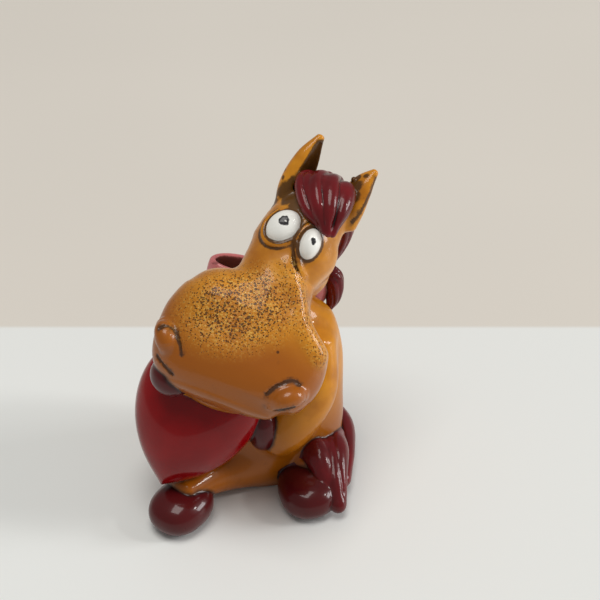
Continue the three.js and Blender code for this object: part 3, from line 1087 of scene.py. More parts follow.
class Slot(Enum):
    """The finishes that the record names."""

    OCHRE = "ochre_glaze"
    WINE = "wine_glaze"
    RED = "red_glaze"
    WHITE = "white_glaze"
    PINK = "pink_glaze"


@dataclass(frozen=True)
class Finish:
    """A painted glaze: a cloudy colour, painted shade where the mesh marks it, dark wash in the creases
    and a glossy coat.
    """

    slot: Slot
    base: tuple
    # The darker colour, used for the random clouds and for painted shade.
    deep: tuple
    pale: tuple
    wash: tuple = colour(45, 26, 12)
    roughness: float = 0.34
    specular: float = 0.14
    coat: float = 0.4
    ripple: float = 0.12
    grime: float = 0.2
    crease: tuple[float, float] = (0.25, 1.3)
    joint: float = 0.7
    cloud: float = 7.0
    wash_share: float = 0.95

    @classmethod
    def after(cls, plain: "Finish", **changes: object) -> "Finish":
        """Makes a finish of this kind from a plain one's values, with some changes."""
        return cls(**{**vars(plain), **changes})

    def colours(self, graph: Graph) -> tuple[Value, Value]:
        """Mixes the glaze's colour.

        Args:
            graph: The material's graph.

        Returns:
            The colour, and how much dark wash and painted shade lie on it.
        """
        cloud = graph.noise(self.cloud, 3.0).over(0.3, 0.7) * 0.6
        # The deep mark is painted shade on the torso, limbs, lower lip and muzzle, and the hooves' own
        # darker tone.
        tone = graph.blend(cloud.larger(graph.mark("deep")), self.base, self.deep)
        worn = (0.0 - graph.mark("crease")).over(0.35, 1.5) * graph.noise(2.0, 2.0).over(0.35, 0.7)
        tone = graph.blend(worn * 0.6, tone, self.pale)
        wander = graph.noise(1.6, 3.0, 0.6, 3.0) - 0.5
        crease = (graph.mark("crease") + 0.9 * wander).over(*self.crease)
        hollow = (graph.mark("hollow") + 0.35 * wander).over(0.12, 0.55)
        near = 1 - (graph.mark("joint") + 0.5 * wander).over(0.0, self.joint)
        # The stain mark is brown wash, plus painted shade between the eyes, in the ears' cups and inside
        # the ribbon loops.
        stain = (graph.mark("stain") + 1.3 * wander).over(0.25, 0.75)
        grime = graph.noise(2.4, 4.0, 0.7, 11.0).over(0.6, 0.72) * self.grime
        wash = crease.larger(near * 0.9).larger(hollow * 0.45).larger(stain * 0.9).larger(grime)
        return graph.blend(wash * self.wash_share, tone, self.wash), wash

    def bump(self, graph: Graph) -> tuple[Value, float]:
        """Gives the height of the glaze's own relief, and its strength."""
        return graph.noise(3.0, 2.0), self.ripple

    def polish(self, graph: Graph) -> Value | float:
        """Gives the weight of the clear coat."""
        return self.coat

    def material(self, name: str) -> bpy.types.Material:
        """Builds the material.

        Args:
            name: Its name.

        Returns:
            The new material.
        """
        graph = Graph(bpy.data.materials.new(name))
        tone, wash = self.colours(graph)
        height, strength = self.bump(graph)
        sockets = {"Strength": strength, "Distance": 0.4 * MILLIMETRE, "Height": height}
        normal = graph.node("ShaderNodeBump", None, sockets)
        smear = graph.noise(1.2, 3.0, 0.6, 5.0) - 0.5
        graph.surface({
            "Base Color": tone,
            "Roughness": wash * 0.15 + (smear * 0.12 + self.roughness),
            "Normal": normal,
            "IOR": 1.45,
            "Specular IOR Level": self.specular,
            "Coat Weight": self.polish(graph),
            "Coat Roughness": 0.07,
            "Coat IOR": 1.5,
        })
        return graph.owner


@dataclass(frozen=True)
class PittedFinish(Finish):
    """The ochre glaze of the head, with the pitted bridge of the nose and golden glints painted on it.
    """

    pit: tuple = colour(66, 32, 8)
    # Colour of the golden glints painted on the pitted nose.
    painted_glint: tuple = colour(222, 176, 84)

    def _pits(self, graph: Graph) -> Value:
        """Scatters pits of two sizes where the mesh says that the nose is pitted.

        Args:
            graph: The material's graph.

        Returns:
            1 inside a pit.
        """
        area = graph.mark("pitted")
        small = (graph.cells(0.47) + (1 - area) * 0.27).over(0.43, 0.31)
        large = (graph.cells(0.93) + (1 - area) * 0.3).over(0.32, 0.23)
        return small.larger(large) * area.over(0.02, 0.2)

    def colours(self, graph: Graph) -> tuple[Value, Value]:
        """Mixes the glaze's colour.

        Args:
            graph: The material's graph.

        Returns:
            The colour, and how much dark wash lies on it.
        """
        tone, wash = super().colours(graph)
        area = graph.mark("pitted")
        # Golden specks painted on the pitted area as glints of light.
        painted_glints = graph.noise(0.45, 2.0, 0.6, 8.0).over(0.5, 0.64) * area
        tone = graph.blend(painted_glints * 0.75, tone, self.painted_glint)
        stain = graph.noise(0.8, 4.0, 0.7, 9.0).over(0.52, 0.72) * area
        tone = graph.blend(stain * 0.35, tone, self.pit)
        tone = graph.blend(self._pits(graph) * 0.85, tone, self.pit)
        fleck = graph.cells(6.3).over(0.065, 0.04)
        return graph.blend(fleck * 0.85, tone, self.pit), wash

    def bump(self, graph: Graph) -> tuple[Value, float]:
        """Gives the height of the glaze's own relief.

        Args:
            graph: The material's graph.

        Returns:
            The height, and the bump's strength.
        """
        area = graph.mark("pitted")
        rough = graph.noise(0.55, 3.0, 0.6, 8.0) * area
        return graph.noise(3.0, 2.0) * 0.2 + rough * 0.9 - self._pits(graph) * 0.5, 0.8

    def polish(self, graph: Graph) -> Value | float:
        """Gives the weight of the clear coat, which the pits break up."""
        return (1 - 0.6 * graph.mark("pitted")) * self.coat


@dataclass(frozen=True)
class EyeFinish(Finish):
    """White glaze with a pupil dabbed on by brush, and catchlights painted into the pupil."""

    pupil: Vec = (0.0, 0.0, 0.0)
    dab: float = 1.1
    ink: tuple = colour(48, 46, 48)

    def colours(self, graph: Graph) -> tuple[Value, Value]:
        """Mixes the glaze's colour.

        Args:
            graph: The material's graph.

        Returns:
            The colour, and how much dark wash and painted shade lie on it.
        """
        tone, wash = super().colours(graph)
        wander = graph.noise(0.9, 3.0, 0.65, 2.0) - 0.5
        settings = {"operation": "DISTANCE"}
        sockets = {0: graph.place(), 1: self.pupil}
        away = graph.node("ShaderNodeVectorMath", settings, sockets, "Value") / MILLIMETRE
        spot = (away + wander * 1.3).over(self.dab + 0.08, self.dab - 0.12)
        # Gaps in the brushed dab, which also serve as painted catchlights.
        gap_and_catchlight = graph.noise(0.55, 2.0, 0.5, 6.0).over(0.62, 0.7)
        return graph.blend(spot * (1 - gap_and_catchlight * 0.8), tone, self.ink), wash


# The ochre's deep colour is also the painted shade on the torso, limbs and muzzle.
OCHRE = Finish(Slot.OCHRE, colour(216, 143, 32), colour(140, 66, 0), colour(226, 166, 66))
WINE = Finish(Slot.WINE, colour(112, 20, 26), colour(62, 14, 14), colour(158, 66, 66),
              wash=colour(30, 14, 12), roughness=0.3, crease=(0.15, 1.0))
RED = Finish(Slot.RED, colour(134, 4, 9), colour(112, 3, 7), colour(160, 30, 34),
             wash=colour(40, 10, 10), roughness=0.24, ripple=0.04, grime=0.0)
PINK = Finish(Slot.PINK, colour(204, 118, 120), colour(182, 98, 100), colour(226, 158, 150),
              wash=colour(76, 40, 34), grime=0.6)
WHITE = Finish(Slot.WHITE, colour(246, 245, 240), colour(240, 238, 230), colour(249, 248, 246),
               wash=colour(84, 66, 48), crease=(0.6, 1.6), joint=0.28, grime=0.0)


def darkened(points: Array) -> Array:
    """Says that a hoof is darker all over."""
    return np.full(len(points), 0.75)


def shade_near_table(points: Array) -> Array:
    """Paints shade on the ochre near the table: darker towards the bottom."""
    return 0.85 * (1 - step(points[:, 2], 10.0, 34.0))


@dataclass
class Trunk:
    """The torso and neck: one pear of clay, hollowed from below."""

    width: float = 35.6
    depth: float = 26.0
    shoulder_height: float = 38.0
    shoulder_width: float = 31.6
    neck_width: float = 15.6
    neck_length: float = 13.0
    neck_lean: float = 7.4
    hollow_diameter: float = 14.0
    hollow_depth: float = 20.0

    def point(self, across: float, ahead: float, height: float) -> Array:
        """Gives a point by shares of the torso across and ahead, and its height."""
        return vec(across * self.width / 2, -ahead * self.depth / 2, height)

    def neck_top(self) -> Array:
        """Gives the point where the head sits."""
        return vec(self.neck_lean, 0, self.shoulder_height + self.neck_length)

    def nape(self, part: float) -> Array:
        """Gives a point on the neck's axis, part of the way up from the shoulders."""
        start = vec(0, 0, self.shoulder_height)
        return start + (self.neck_top() - start) * part

    def form(self) -> Form:
        """Rolls the pear and scoops out its foot.

        Returns:
            The torso and neck.
        """
        wide, deep = self.width / 2, self.depth / 2
        shoulder, neck = self.shoulder_width / 2, self.neck_width / 2

        def level(part: float, lean: float = 0.0) -> Array:
            """Gives the point at a share of the shoulder's height, leaning to the right."""
            return vec(lean * self.neck_lean, 0, part * self.shoulder_height)

        pear = Stack([
            Station(level(0), 0.86 * wide, 0.9 * deep),
            Station(level(0.24), wide, 1.04 * deep, deep),
            Station(level(0.5), wide, deep),
            Station(level(0.75, 0.02), 0.98 * wide, 0.84 * deep, 0.94 * deep),
            Station(level(0.92, 0.09), shoulder, 0.69 * deep, 0.85 * deep),
            Station(level(1.01, 0.05), 0.94 * shoulder, 0.62 * deep, 0.73 * deep),
            Station(level(1.07, -0.06), 0.82 * shoulder, 0.6 * deep, 0.68 * deep),
            Station(level(1.13, -0.05), 0.7 * shoulder, 0.6 * deep, 0.64 * deep),
            Station(level(1.245, 0.58), 1.24 * neck, neck),
            Station(level(1.34, 0.88), 1.07 * neck, 0.92 * neck),
        ], 0.1, 0.4)
        radius, top = self.hollow_diameter / 2, self.hollow_depth
        scoop = Lump([
            Station(vec(0, 0, -0.2 * top), radius, radius),
            Station(vec(0, 0, 0.3 * top), radius, radius),
            Station(vec(0, 0, 0.65 * top), radius, radius),
            Station(vec(0, 0, 0.9 * top), 0.72 * radius, 0.72 * radius),
        ], FORWARD, 0.1, 0.4)
        return Joined(pear, cut=[(scoop, 0.6)])

    def parts(self) -> list[Part]:
        """Lists the trunk's lumps."""
        return [Part("torso", self.form(), OCHRE, 1.0, 0.5, {"deep": shade_near_table})]


@dataclass
class Heart:
    """The glossy heart that leans on the chest."""

    trunk: Trunk
    width: float = 26.5
    height: float = 31.5
    thickness: float = 16.0
    tilt: float = 25.0
    lean: float = 25.0
    cleft: float = 0.55

    def place(self) -> Place:
        """Gives the heart's own frame."""
        matrix = turn(0, 90 - self.lean) @ turn(2, -self.tilt)
        return Place(matrix, self.trunk.point(-0.81, 1.12, 0.571 * self.trunk.shoulder_height))

    def point(self, right: float, up: float, out: float) -> Array:
        """Gives a point by shares of the heart's half sizes."""
        half = np.array([self.width, self.height, self.thickness]) / 2
        return self.place().out(vec(right, up, out) * half)

    def parts(self) -> list[Part]:
        """Lists the heart's lump."""
        size = (self.width, self.height, self.thickness)
        return [Part("heart", HeartForm(size, self.cleft, self.place()), RED, 0.2, 0.4)]


@dataclass
class Eye:
    """One bulging eye.

    Its size and tilt, its place, the angles between which its lid runs, and where its pupil sits
    and how large that is.
    """

    wide: float
    tall: float
    tilt: float
    at: Array
    lid: tuple[float, float]
    gaze: tuple[float, float]
    dab: float


@dataclass
class Head:
    """The head: a narrow skull, pinched below the eyes, that swells into a broad muzzle."""

    trunk: Trunk
    pitch: float = 44.0
    roll: float = 27.0
    skull_width: float = 17.0
    skull_depth: float = 16.0
    crown: float = 9.5
    pinch: float = 15.7
    muzzle: float = 34.6
    thickness: float = 16.5
    length: float = 36.6
    lip: float = 4.2
    eye_spacing: float = 6.2
    eye_bulge: float = 2.1
    large_eye: Vec = (5.9, 7.5, -24.0)
    small_eye: Vec = (4.1, 6.4, 5.0)
    lid_roll: float = 1.7
    left_ear: float = 17.0
    right_ear: float = 12.2
    ear_width: float = 7.4
    ear_spacing: float = 11.2
    nostril_spacing: float = 26.0
    nostril_length: float = 7.0
    nostril_roll: float = 4.4
    nostril_splay: float = 48.0
    creases: tuple[tuple[Vec, ...], ...] = (
        ((0.4, -0.9, 8.0), (1.2, -2.8, 7.6), (2.1, -4.3, 7.3), (3.1, -5.5, 6.9), (4.3, -6.4, 6.1)),
        ((-14.8, -27.9, 7.0), (-14.0, -26.9, 7.1), (-12.9, -26.5, 6.9), (-11.7, -27.0, 6.6),
         (-10.6, -28.0, 6.6), (-9.5, -29.3, 6.6), (-8.8, -30.4, 6.4)),
        ((9.3, -29.7, 6.3), (10.1, -27.9, 6.8), (11.0, -26.7, 6.8), (12.0, -25.6, 6.7),
         (13.0, -25.0, 6.4), (14.0, -25.3, 5.8)),
        ((-13.3, -32.5, 3.3), (-11.7, -33.3, 3.7), (-10.3, -33.9, 3.9), (-8.9, -34.3, 3.8)),
        ((11.6, -31.9, 3.6), (12.8, -31.2, 5.7), (13.9, -30.5, 6.3), (14.9, -29.6, 6.0)),
        ((8.7, 18.4, 4.2), (8.9, 15.0, 3.8), (9.1, 10.9, 3.0), (8.3, 8.9, 2.1)),
    )
    # Brown wash spots; the four from (-0.3, -0.3, 7.8) to (3.6, -3.8, 6.9) are painted shade between the
    # eyes and below the right eye. Each: x, y, z, reach and strength in the head's frame.
    stains_and_shades: tuple[tuple[float, float, float, float, float], ...] = (
        (-7.6, 6.0, 0.6, 3.6, 0.8), (-5.9, 8.6, 3.4, 3.2, 1.0), (-4.6, 6.8, 4.6, 2.8, 1.0),
        (-5.2, 10.2, 4.6, 2.2, 1.0), (-6.3, 8.0, 1.6, 3.0, 1.0), (-2.7, 6.4, 6.1, 2.6, 1.0),
        (-1.0, 5.2, 7.1, 2.2, 0.9), (-0.3, -0.3, 7.8, 1.7, 0.8), (0.9, -1.6, 8.0, 1.5, 0.8),
        (2.4, -2.4, 7.6, 1.7, 0.55), (3.6, -3.8, 6.9, 1.9, 0.5), (6.5, 9.0, 6.0, 3.4, 1.0),
        (1.0, 12.0, 3.0, 4.5, 1.0), (-7.5, 10.4, 4.1, 1.0, 1.0), (-7.8, 11.9, 4.1, 0.8, 1.0),
        (-8.0, 13.4, 3.9, 0.7, 1.0), (5.8, 15.4, 4.2, 2.2, 0.95), (5.0, 16.9, 3.4, 1.9, 1.0),
        (6.8, 18.0, 4.4, 1.0, 0.7), (5.7, 13.4, 3.8, 2.8, 1.0), (15.8, -18.8, 3.4, 0.8, 1.0),
    )
    knob: tuple[Vec, Vec] = ((1.3, 1.3, 1.3), (4.8, 16.6, 3.2))
    jowl: tuple[Vec, Vec] = ((14.0, 14.0, 15.2), (-8.0, -17.5, 0.2))
    dent: tuple[Vec, Vec] = ((17.6, 17.6, 26.0), (17.0, -7.0, 0.0))
    fold: tuple[Vec, ...] = ((1.3, -1.2, 7.8), (2.3, -3.2, 7.3), (3.8, -4.9, 6.5), (5.3, -6.0, 5.3))
    bridge: tuple[Vec, ...] = ((1.6, -6.2, 5.6), (4.2, -8.8, 5.8), (6.4, -11.5, 5.5),
                               (8.4, -14.1, 5.5), (11.2, -16.5, 5.0), (14.2, -18.4, 3.7))

    def place(self) -> Place:
        """Gives the head's own frame: face towards +Z, crown towards +Y, eyes at y = 0."""
        offset = vec(-0.01 * self.skull_width, -0.09 * self.skull_depth, 0.35 * self.skull_depth)
        return Place(turn(0, self.pitch) @ turn(2, -self.roll), self.trunk.neck_top() + offset)

    def _skull(self) -> Lump:
        """Rolls the main lump.

        Returns:
            The skull and muzzle.
        """
        skull, pinch, muzzle = self.skull_width / 2, self.pinch / 2, self.muzzle / 2
        brow, thick = self.skull_depth / 2, self.thickness / 2

        def at(part: float, shift: float) -> Array:
            """Gives a point on the head's spine."""
            return vec(shift * self.pinch, -part * self.length, 0)

        return Lump([
            Station(vec(0.1 * self.pinch, self.crown, 0), 0.72 * skull, 0.72 * brow, 0.9 * brow),
            Station(at(-0.1, 0.02), 0.94 * skull, 0.94 * brow, 1.08 * brow),
            Station(at(0.05, 0.025), 1.04 * skull, 0.96 * brow, 1.08 * brow),
            Station(at(0.18, -0.005), pinch, 0.92 * brow, brow),
            Station(at(0.27, 0.02), mix(pinch, muzzle, 0.12), 0.92 * thick),
            Station(at(0.37, 0.025), mix(pinch, muzzle, 0.48), 0.96 * thick, None, 2.1),
            Station(at(0.46, 0.03), mix(pinch, muzzle, 0.83), thick, None, 2.3),
            Station(at(0.6, 0.02), muzzle, thick, None, 2.4),
            Station(at(0.74, 0.005), 0.97 * muzzle, 0.98 * thick, None, 2.4),
            Station(at(0.86, 0.012), 0.87 * muzzle, 0.84 * thick, None, 2.2),
            Station(at(0.93, 0.03), 0.66 * muzzle, 0.6 * thick),
        ], UP, 0.57, 0.16, self.place())

    def _roll(self, points: Sequence[Vec], half: float) -> Lump:
        """Rolls a thin cord through points of the head's frame."""
        stations = [Station(vec(*p), half, half) for p in points]
        return Lump(stations, UP, 1.0, 1.0, self.place())

    def _egg(self, size: Vec, centre: Vec) -> Ball:
        """Shapes an egg of a given size round a point of the head's frame."""
        return Ball(size, vec(*centre), np.eye(3), self.place())

    def _lip(self) -> Lump:
        """Rolls the lower lip, which shows as a rim under the muzzle.

        Returns:
            The lip.
        """
        roll = self.lip / 2
        stations = []
        for part in (-1, -0.6, -0.2, 0.2, 0.6, 1):
            slim = roll * (1 - 0.35 * part ** 4)
            reach = self.length * (0.995 - 0.2 * (part + 0.16) ** 2) - roll
            at = vec(part * 0.45 * self.muzzle, -reach, -0.34 * self.thickness)
            stations.append(Station(at, slim, slim))
        return Lump(stations, UP, place=self.place())

    def _brow(self) -> float:
        """Gives the height of the brow, on which the eyes sit."""
        return 0.47 * self.skull_depth

    def _eyes(self) -> dict[str, Eye]:
        """Gives both eyes.

        Returns:
            The eyes, by side.
        """
        left = vec(-0.45 * self.eye_spacing, 0.13 * self.eye_spacing, 0)
        right = vec(0.55 * self.eye_spacing, 0, 0)
        return {
            "left": Eye(*self.large_eye, left, (-200, 0), (-0.1, 0.45), 1.1),
            "right": Eye(*self.small_eye, right, (75, 235), (0.8, 0.35), 0.72),
        }

    def _ball(self, eye: Eye) -> Ball:
        """Presses an eyeball into the brow.

        Args:
            eye: The eye.

        Returns:
            The eyeball.
        """
        deep = 0.9 * self.large_eye[0]
        centre = eye.at + vec(0, 0, self._brow() + self.eye_bulge - deep / 2)
        return Ball((eye.wide, eye.tall, deep), centre, turn(2, eye.tilt), self.place())

    def _lid(self, eye: Eye) -> Lump:
        """Rolls a lid round part of an eye.

        Args:
            eye: The eye.

        Returns:
            The lid.
        """
        half = self.lid_roll / 2
        stations = []
        for share in (0, 0.25, 0.5, 0.75, 1):
            angle = math.radians(mix(*eye.lid, share))
            rim = vec(math.cos(angle) * (eye.wide / 2 + 0.6 * half),
                      math.sin(angle) * (eye.tall / 2 + 0.6 * half), 0)
            rim = turn(2, eye.tilt) @ rim + eye.at
            rim[2] = self._brow() - 0.85 / self.skull_width * rim[0] ** 2
            swell = half * (0.6 + 0.4 * math.sin(math.pi * share))
            stations.append(Station(rim, swell, swell))
        return Lump(stations, UP, place=self.place())

    def _ear(self, base: Array, lean: float, length: float, facing: Array) -> tuple[Form, Lump]:
        """Cups a leaf of clay.

        Args:
            base: Where it grows from the skull.
            lean: How far its tip leans to the right, as a share of its length.
            length: Its length.
            facing: Where it opens.

        Returns:
            The ear, and the scoop that cupped it.
        """
        wide = self.ear_width / 2 * (1.14 if length > self.right_ear else 1.0)
        reach = vec(lean, 0.9, 0.42) * length
        bow = vec(-0.13 * self.ear_width, 0, 0)
        lift = facing * 0.62 * wide

        def at(part: float) -> Array:
            """Gives a point on the ear's spine."""
            return base + reach * part + bow * math.sin(math.pi * part)

        leaf = Lump([
            Station(at(0), 0.8 * wide, 0.6 * wide),
            Station(at(0.35), wide, 0.66 * wide),
            Station(at(0.72), 0.74 * wide, 0.5 * wide),
            Station(at(1), 0.22 * wide, 0.2 * wide),
        ], facing, place=self.place())
        scoop = Lump([
            Station(at(0.1) + lift, 0.4 * wide, 0.35 * wide),
            Station(at(0.4) + lift, 0.72 * wide, 0.7 * wide),
            Station(at(0.9) + lift, 0.36 * wide, 0.5 * wide),
        ], facing, place=self.place())
        return Joined(leaf, cut=[(scoop, 0.3)]), scoop

    def _nostril(self, side: int) -> Lump:
        """Rolls one nostril.

        Args:
            side: -1 for the left one and 1 for the right one.

        Returns:
            The nostril.
        """
        splay = math.radians(self.nostril_splay)
        roll = self.nostril_roll / 2
        out = vec(side * math.cos(splay), math.sin(splay), 0) * self.nostril_length / 2
        centre = vec(side * self.nostril_spacing / 2, -0.785 * self.length, 0.3 * self.thickness)

        def at(part: float, lift: float) -> Array:
            """Gives a point on the nostril's spine."""
            return centre + out * part + UP * lift * roll

        return Lump([
            Station(at(-0.8, -0.4), 0.62 * roll, 0.6 * roll),
            Station(at(-0.2, 0.15), roll, roll),
            Station(at(0.4, 0.05), 0.95 * roll, roll),
            Station(at(0.8, -0.45), 0.7 * roll, 0.7 * roll),
        ], UP, 0.9, 0.9, self.place())

    def _creased(self, form: Form) -> Form:
        """Scratches the creases into a form."""
        return Joined(form, cut=[(self._roll(path, 0.28), 0.25) for path in self.creases])

    def _form(self) -> Form:
        """Adds the jowl, the fold beside the eye and the bridge of the nose, and dents the jaw.

        Returns:
            The creased head.
        """
        fold, bridge = self._roll(self.fold, 0.55), self._roll(self.bridge, 1.5)
        added = [(self._egg(*self.jowl), 2.5), (fold, 0.4), (bridge, 2.4)]
        return self._creased(Joined(self._skull(), added, [(self._egg(*self.dent), 1.5)]))

    def _shaded_cup(self, scoop: Lump) -> Callable[[Array], Array]:
        """Paints shade into the hollow that a scoop has left in an ear.

        Args:
            scoop: The scoop.

        Returns:
            What gives the painted shade at rows of X, Y and Z.
        """
        def stain(points: Array) -> Array:
            """Gives the larger of the hollow's painted shade and the head's own wash and shade."""
            hollow = 1 - step(scoop.distance(points), 0.1, 1.0)
            return np.maximum(hollow, self.stained_and_shaded(points))
        return stain

    def _ringed(self, local: Array) -> Array:
        """Says where dark lines run round the eyes and their lids.

        Args:
            local: Rows of X, Y and Z in the head's frame.

        Returns:
            1 in the middle of a line.
        """
        result = np.zeros(len(local))
        for eye in self._eyes().values():
            flat = (local - eye.at) @ turn(2, eye.tilt)
            across, up = flat[:, 0] / eye.wide, flat[:, 1] / eye.tall
            away = (2 * np.hypot(across, up) - 1) * (eye.wide + eye.tall) / 4
            start, end = eye.lid
            lidded = (np.degrees(np.arctan2(up, across)) - start) % 360 < end - start
            inner = 1 - step(np.abs(away - 0.2), 0.15, 0.5)
            outer = 0.8 * lidded * (1 - step(np.abs(away - 1.3), 0.1, 0.45))
            result = np.maximum(result, np.maximum(inner, outer))
        return result * (local[:, 2] > 3.0)

    def stained_and_shaded(self, points: Array) -> Array:
        """Says where brown wash was left on the skin, and where shade is painted between the eyes.

        Args:
            points: Rows of X, Y and Z.

        Returns:
            1 where it is thickest.
        """
        local = self.place().into(points)
        result = self._ringed(local)
        for x, y, z, reach, strength in self.stains_and_shades:
            away = np.linalg.norm(local - vec(x, y, z), axis=1)
            result = np.maximum(result, strength * (1 - step(away, 0.35 * reach, reach)))
        for path in self.creases:
            away = self._roll(path, 0.1).distance(points)
            line = np.maximum(1 - step(away, 0.12, 0.45), 0.42 * (1 - step(away, 0.3, 1.6)))
            result = np.maximum(result, line)
        return result

    def deep(self, points: Array) -> Array:
        """Says where shade is painted on the glaze: on the muzzle, less round its pits."""
        local = self.place().into(points)
        return 0.85 * step(-local[:, 1], 10.0, 24.0) * (1 - 0.75 * self.pitted(points))

    def pitted(self, points: Array) -> Array:
        """Says how pitted the nose is.

        Args:
            points: Rows of X, Y and Z.

        Returns:
            1 in the middle of the bridge of the nose, and 0 away from it.
        """
        x, y, z = self.place().into(points).T
        away = np.hypot((x + 2.8 - 0.35 * (y + 17.0)) / 13.4, (y + 17.4) / 12.8)
        middle = 1 - step(away, 0.35, 1.05)
        bridge = 0.7 * (1 - step(self._roll(self.bridge, 0.5).distance(points), 1.2, 3.0))
        return np.maximum(middle, bridge) * step(z, 0.5, 3.5)

    def parts(self) -> list[Part]:
        """Lists the head's lumps.

        Returns:
            The lumps.
        """
        skin = PittedFinish.after(OCHRE, specular=0.3)
        # These marks carry painted shade on the muzzle and between the eyes, besides the pits and brown
        # wash.
        pitted = {"pitted": self.pitted, "stain": self.stained_and_shaded, "deep": self.deep}
        found = [
            Part("head", self._form(), skin, 0.8, 0.36, pitted),
            Part("lower_lip", self._lip(), OCHRE, 0.9, marks={"deep": self.deep, "stain": self.stained_and_shaded}),
        ]
        eyes = self._eyes()
        for side, eye in eyes.items():
            finish = self._eye_finish(eye)
            found.append(Part(f"eye_{side}", self._ball(eye), finish, 0.15, 0.28))
        for side, eye in eyes.items():
            stain = {"stain": self.stained_and_shaded}
            found.append(Part(f"eyelid_{side}", self._lid(eye), OCHRE, 0.35, 0.28, stain))
        base = vec(-0.26 * self.skull_width, 0.58 * self.crown, -0.09 * self.skull_depth)
        shift = vec(self.ear_spacing, 0.34 * self.crown, 0.03 * self.skull_depth)
        left, right = unit(vec(0.86, -0.1, 0.42)), unit(vec(0.6, -0.1, -0.8))
        ears = {
            "left": self._ear(base, -0.02, self.left_ear, left),
            "right": self._ear(base + shift, 0.1, self.right_ear, right),
        }
        ear, scoop = ears["right"]
        ears["right"] = (Joined(ear, added=[(self._egg(*self.knob), 0.3)]), scoop)
        # Each ear's cup gets painted shade through its stain mark.
        for side, (ear, scoop) in ears.items():
            found.append(Part(f"ear_{side}", ear, OCHRE, 1.2, 0.32, {"stain": self._shaded_cup(scoop)}))
        for name, side in (("left", -1), ("right", 1)):
            form = self._creased(self._nostril(side))
            found.append(Part(f"nostril_{name}", form, skin, 0.8, 0.32, pitted))
        return found

    def _eye_finish(self, eye: Eye) -> EyeFinish:
        """Places the pupil of an eye.

        Args:
            eye: The eye.

        Returns:
            The eye's finish.
        """
        local = eye.at + vec(*eye.gaze, self._brow() + self.eye_bulge)
        pupil = (self.place().out(local) + PLAN_SHIFT) * MILLIMETRE
        return EyeFinish.after(WHITE, pupil=tuple(pupil), dab=eye.dab)


@dataclass
class Limbs:
    """The legs and hooves: the hind legs lie on the table, the forelegs hold the heart."""

    trunk: Trunk
    heart: Heart
    hind_leg: float = 9.5
    hind_hoof: Vec = (12.4, 14.5, 9.0)
    foreleg: float = 9.0
    left_hoof: Vec = (8.0, 9.5, 8.0)
    right_hoof: Vec = (7.0, 8.0, 11.0)
    foot_wear: float = 0.6

    @staticmethod
    def _limb(thickness: float, facing: Array, joints: Sequence[tuple]) -> Lump:
        """Rolls a limb.

        Args:
            thickness: Its thickness.
            facing: Its front.
            joints: A centre and one or two swellings for each joint.

        Returns:
            The limb.
        """
        half = thickness / 2
        stations = [Station(at, sizes[0] * half, sizes[-1] * half) for at, *sizes in joints]
        return Lump(stations, facing)

    def _hind(self) -> dict[str, Form]:
        """Lays the hind legs, each ending on top of its hoof.

        Returns:
            The legs and hooves, by name.
        """
        wide, long, tall = self.hind_hoof
        point, height = self.trunk.point, 0.58 * self.hind_leg
        rest = tall / 2 - self.foot_wear
        left, right = point(-0.95, 1.67, rest), point(0.55, 1.3, rest)
        return {
            "hind_leg_left": self._limb(self.hind_leg, UP, [
                (point(0.33, 0.45, height), 1.1, 1.15),
                (point(-0.06, 0.75, height), 1.04),
                (point(-0.51, 0.97, height), 0.98),
                (left + vec(0, 0.15 * long, 0.38 * tall), 0.9, 0.62),
            ]),
            "hind_leg_right": self._limb(self.hind_leg, UP, [
                (point(0.5, -0.12, height), 1.2, 1.1),
                (point(0.67, 0.42, height), 1.1),
                (right + vec(0.1 * wide, 0.24 * long, 0.16 * tall), 0.9),
            ]),
            "hind_hoof_left": Ball(self.hind_hoof, left, turn(2, -35), square=2.3),
            "hind_hoof_right": Ball(self.hind_hoof, right, turn(2, 15), square=2.3),
        }

    def _fore(self) -> dict[str, Form]:
        """Brings the forelegs round the heart.

        Returns:
            The legs and hooves, by name.
        """
        point, tall = self.trunk.point, self.trunk.shoulder_height
        left, right = self.heart.point(-0.57, 0.62, 1.28), self.heart.point(1.09, 0.28, -0.23)
        shoulder = point(-0.29, 0.42, 0.87 * tall)
        wrist = left + vec(0.31, 0.15, -0.25) * self.left_hoof
        elbow = shoulder + (wrist - shoulder) * 0.55
        return {
            "foreleg_left": self._limb(self.foreleg, UP, [(shoulder, 1), (elbow, 0.9), (wrist, 0.75)]),
            "fore_hoof_left": Ball(self.left_hoof, left, turn(2, 40)),
            "foreleg_right": self._limb(self.foreleg, FORWARD, [
                (point(0.56, 0.42, 0.92 * tall), 1.3, 1),
                (point(0.57, 0.76, 0.68 * tall), 1.3, 1.1),
                (right + vec(0.71, 0.11, -0.14) * self.right_hoof, 1.05),
                (right + vec(0.34, 0.07, -0.41) * self.right_hoof, 0.8),
            ]),
            "fore_hoof_right": Ball(self.right_hoof, right, np.eye(3)),
        }

    def parts(self) -> list[Part]:
        """Lists the limbs' lumps.

        Returns:
            The lumps.
        """
        found = []
        for name, form in {**self._fore(), **self._hind()}.items():
            # Ochre limbs get painted shade near the table; the hooves get their own darker tone.
            finish, blend, deep = (WINE, 0.5, darkened) if "hoof" in name else (OCHRE, 3.2, shade_near_table)
            found.append(Part(name, form, finish, blend, marks={"deep": deep}))
        return found


def strand(points: Sequence[Array], thickness: float, facing: Array, tip: float = 0.3,
           place: Place = Place(), grooves: Grooves | None = None) -> Lump:
    """Rolls a strand of hair that swells from its root and tapers to its tip.

    Args:
        points: Its spine.
        thickness: Its thickness where it is widest.
        facing: Its front.
        tip: Its thickness at the tip, as a share.
        place: Where the points are.
        grooves: Lines combed into it.

    Returns:
        The strand.
    """
    taper = np.array([[0.72], [1.0], [0.92], [0.7], [tip]])
    times = np.linspace(0, 4, len(points))
    swells = even(taper, times)[:, 0] * thickness / 2
    stations = [Station(at, swell, swell) for at, swell in zip(points, swells)]
    return Lump(stations, facing, 1.0, 1.2, place, grooves)


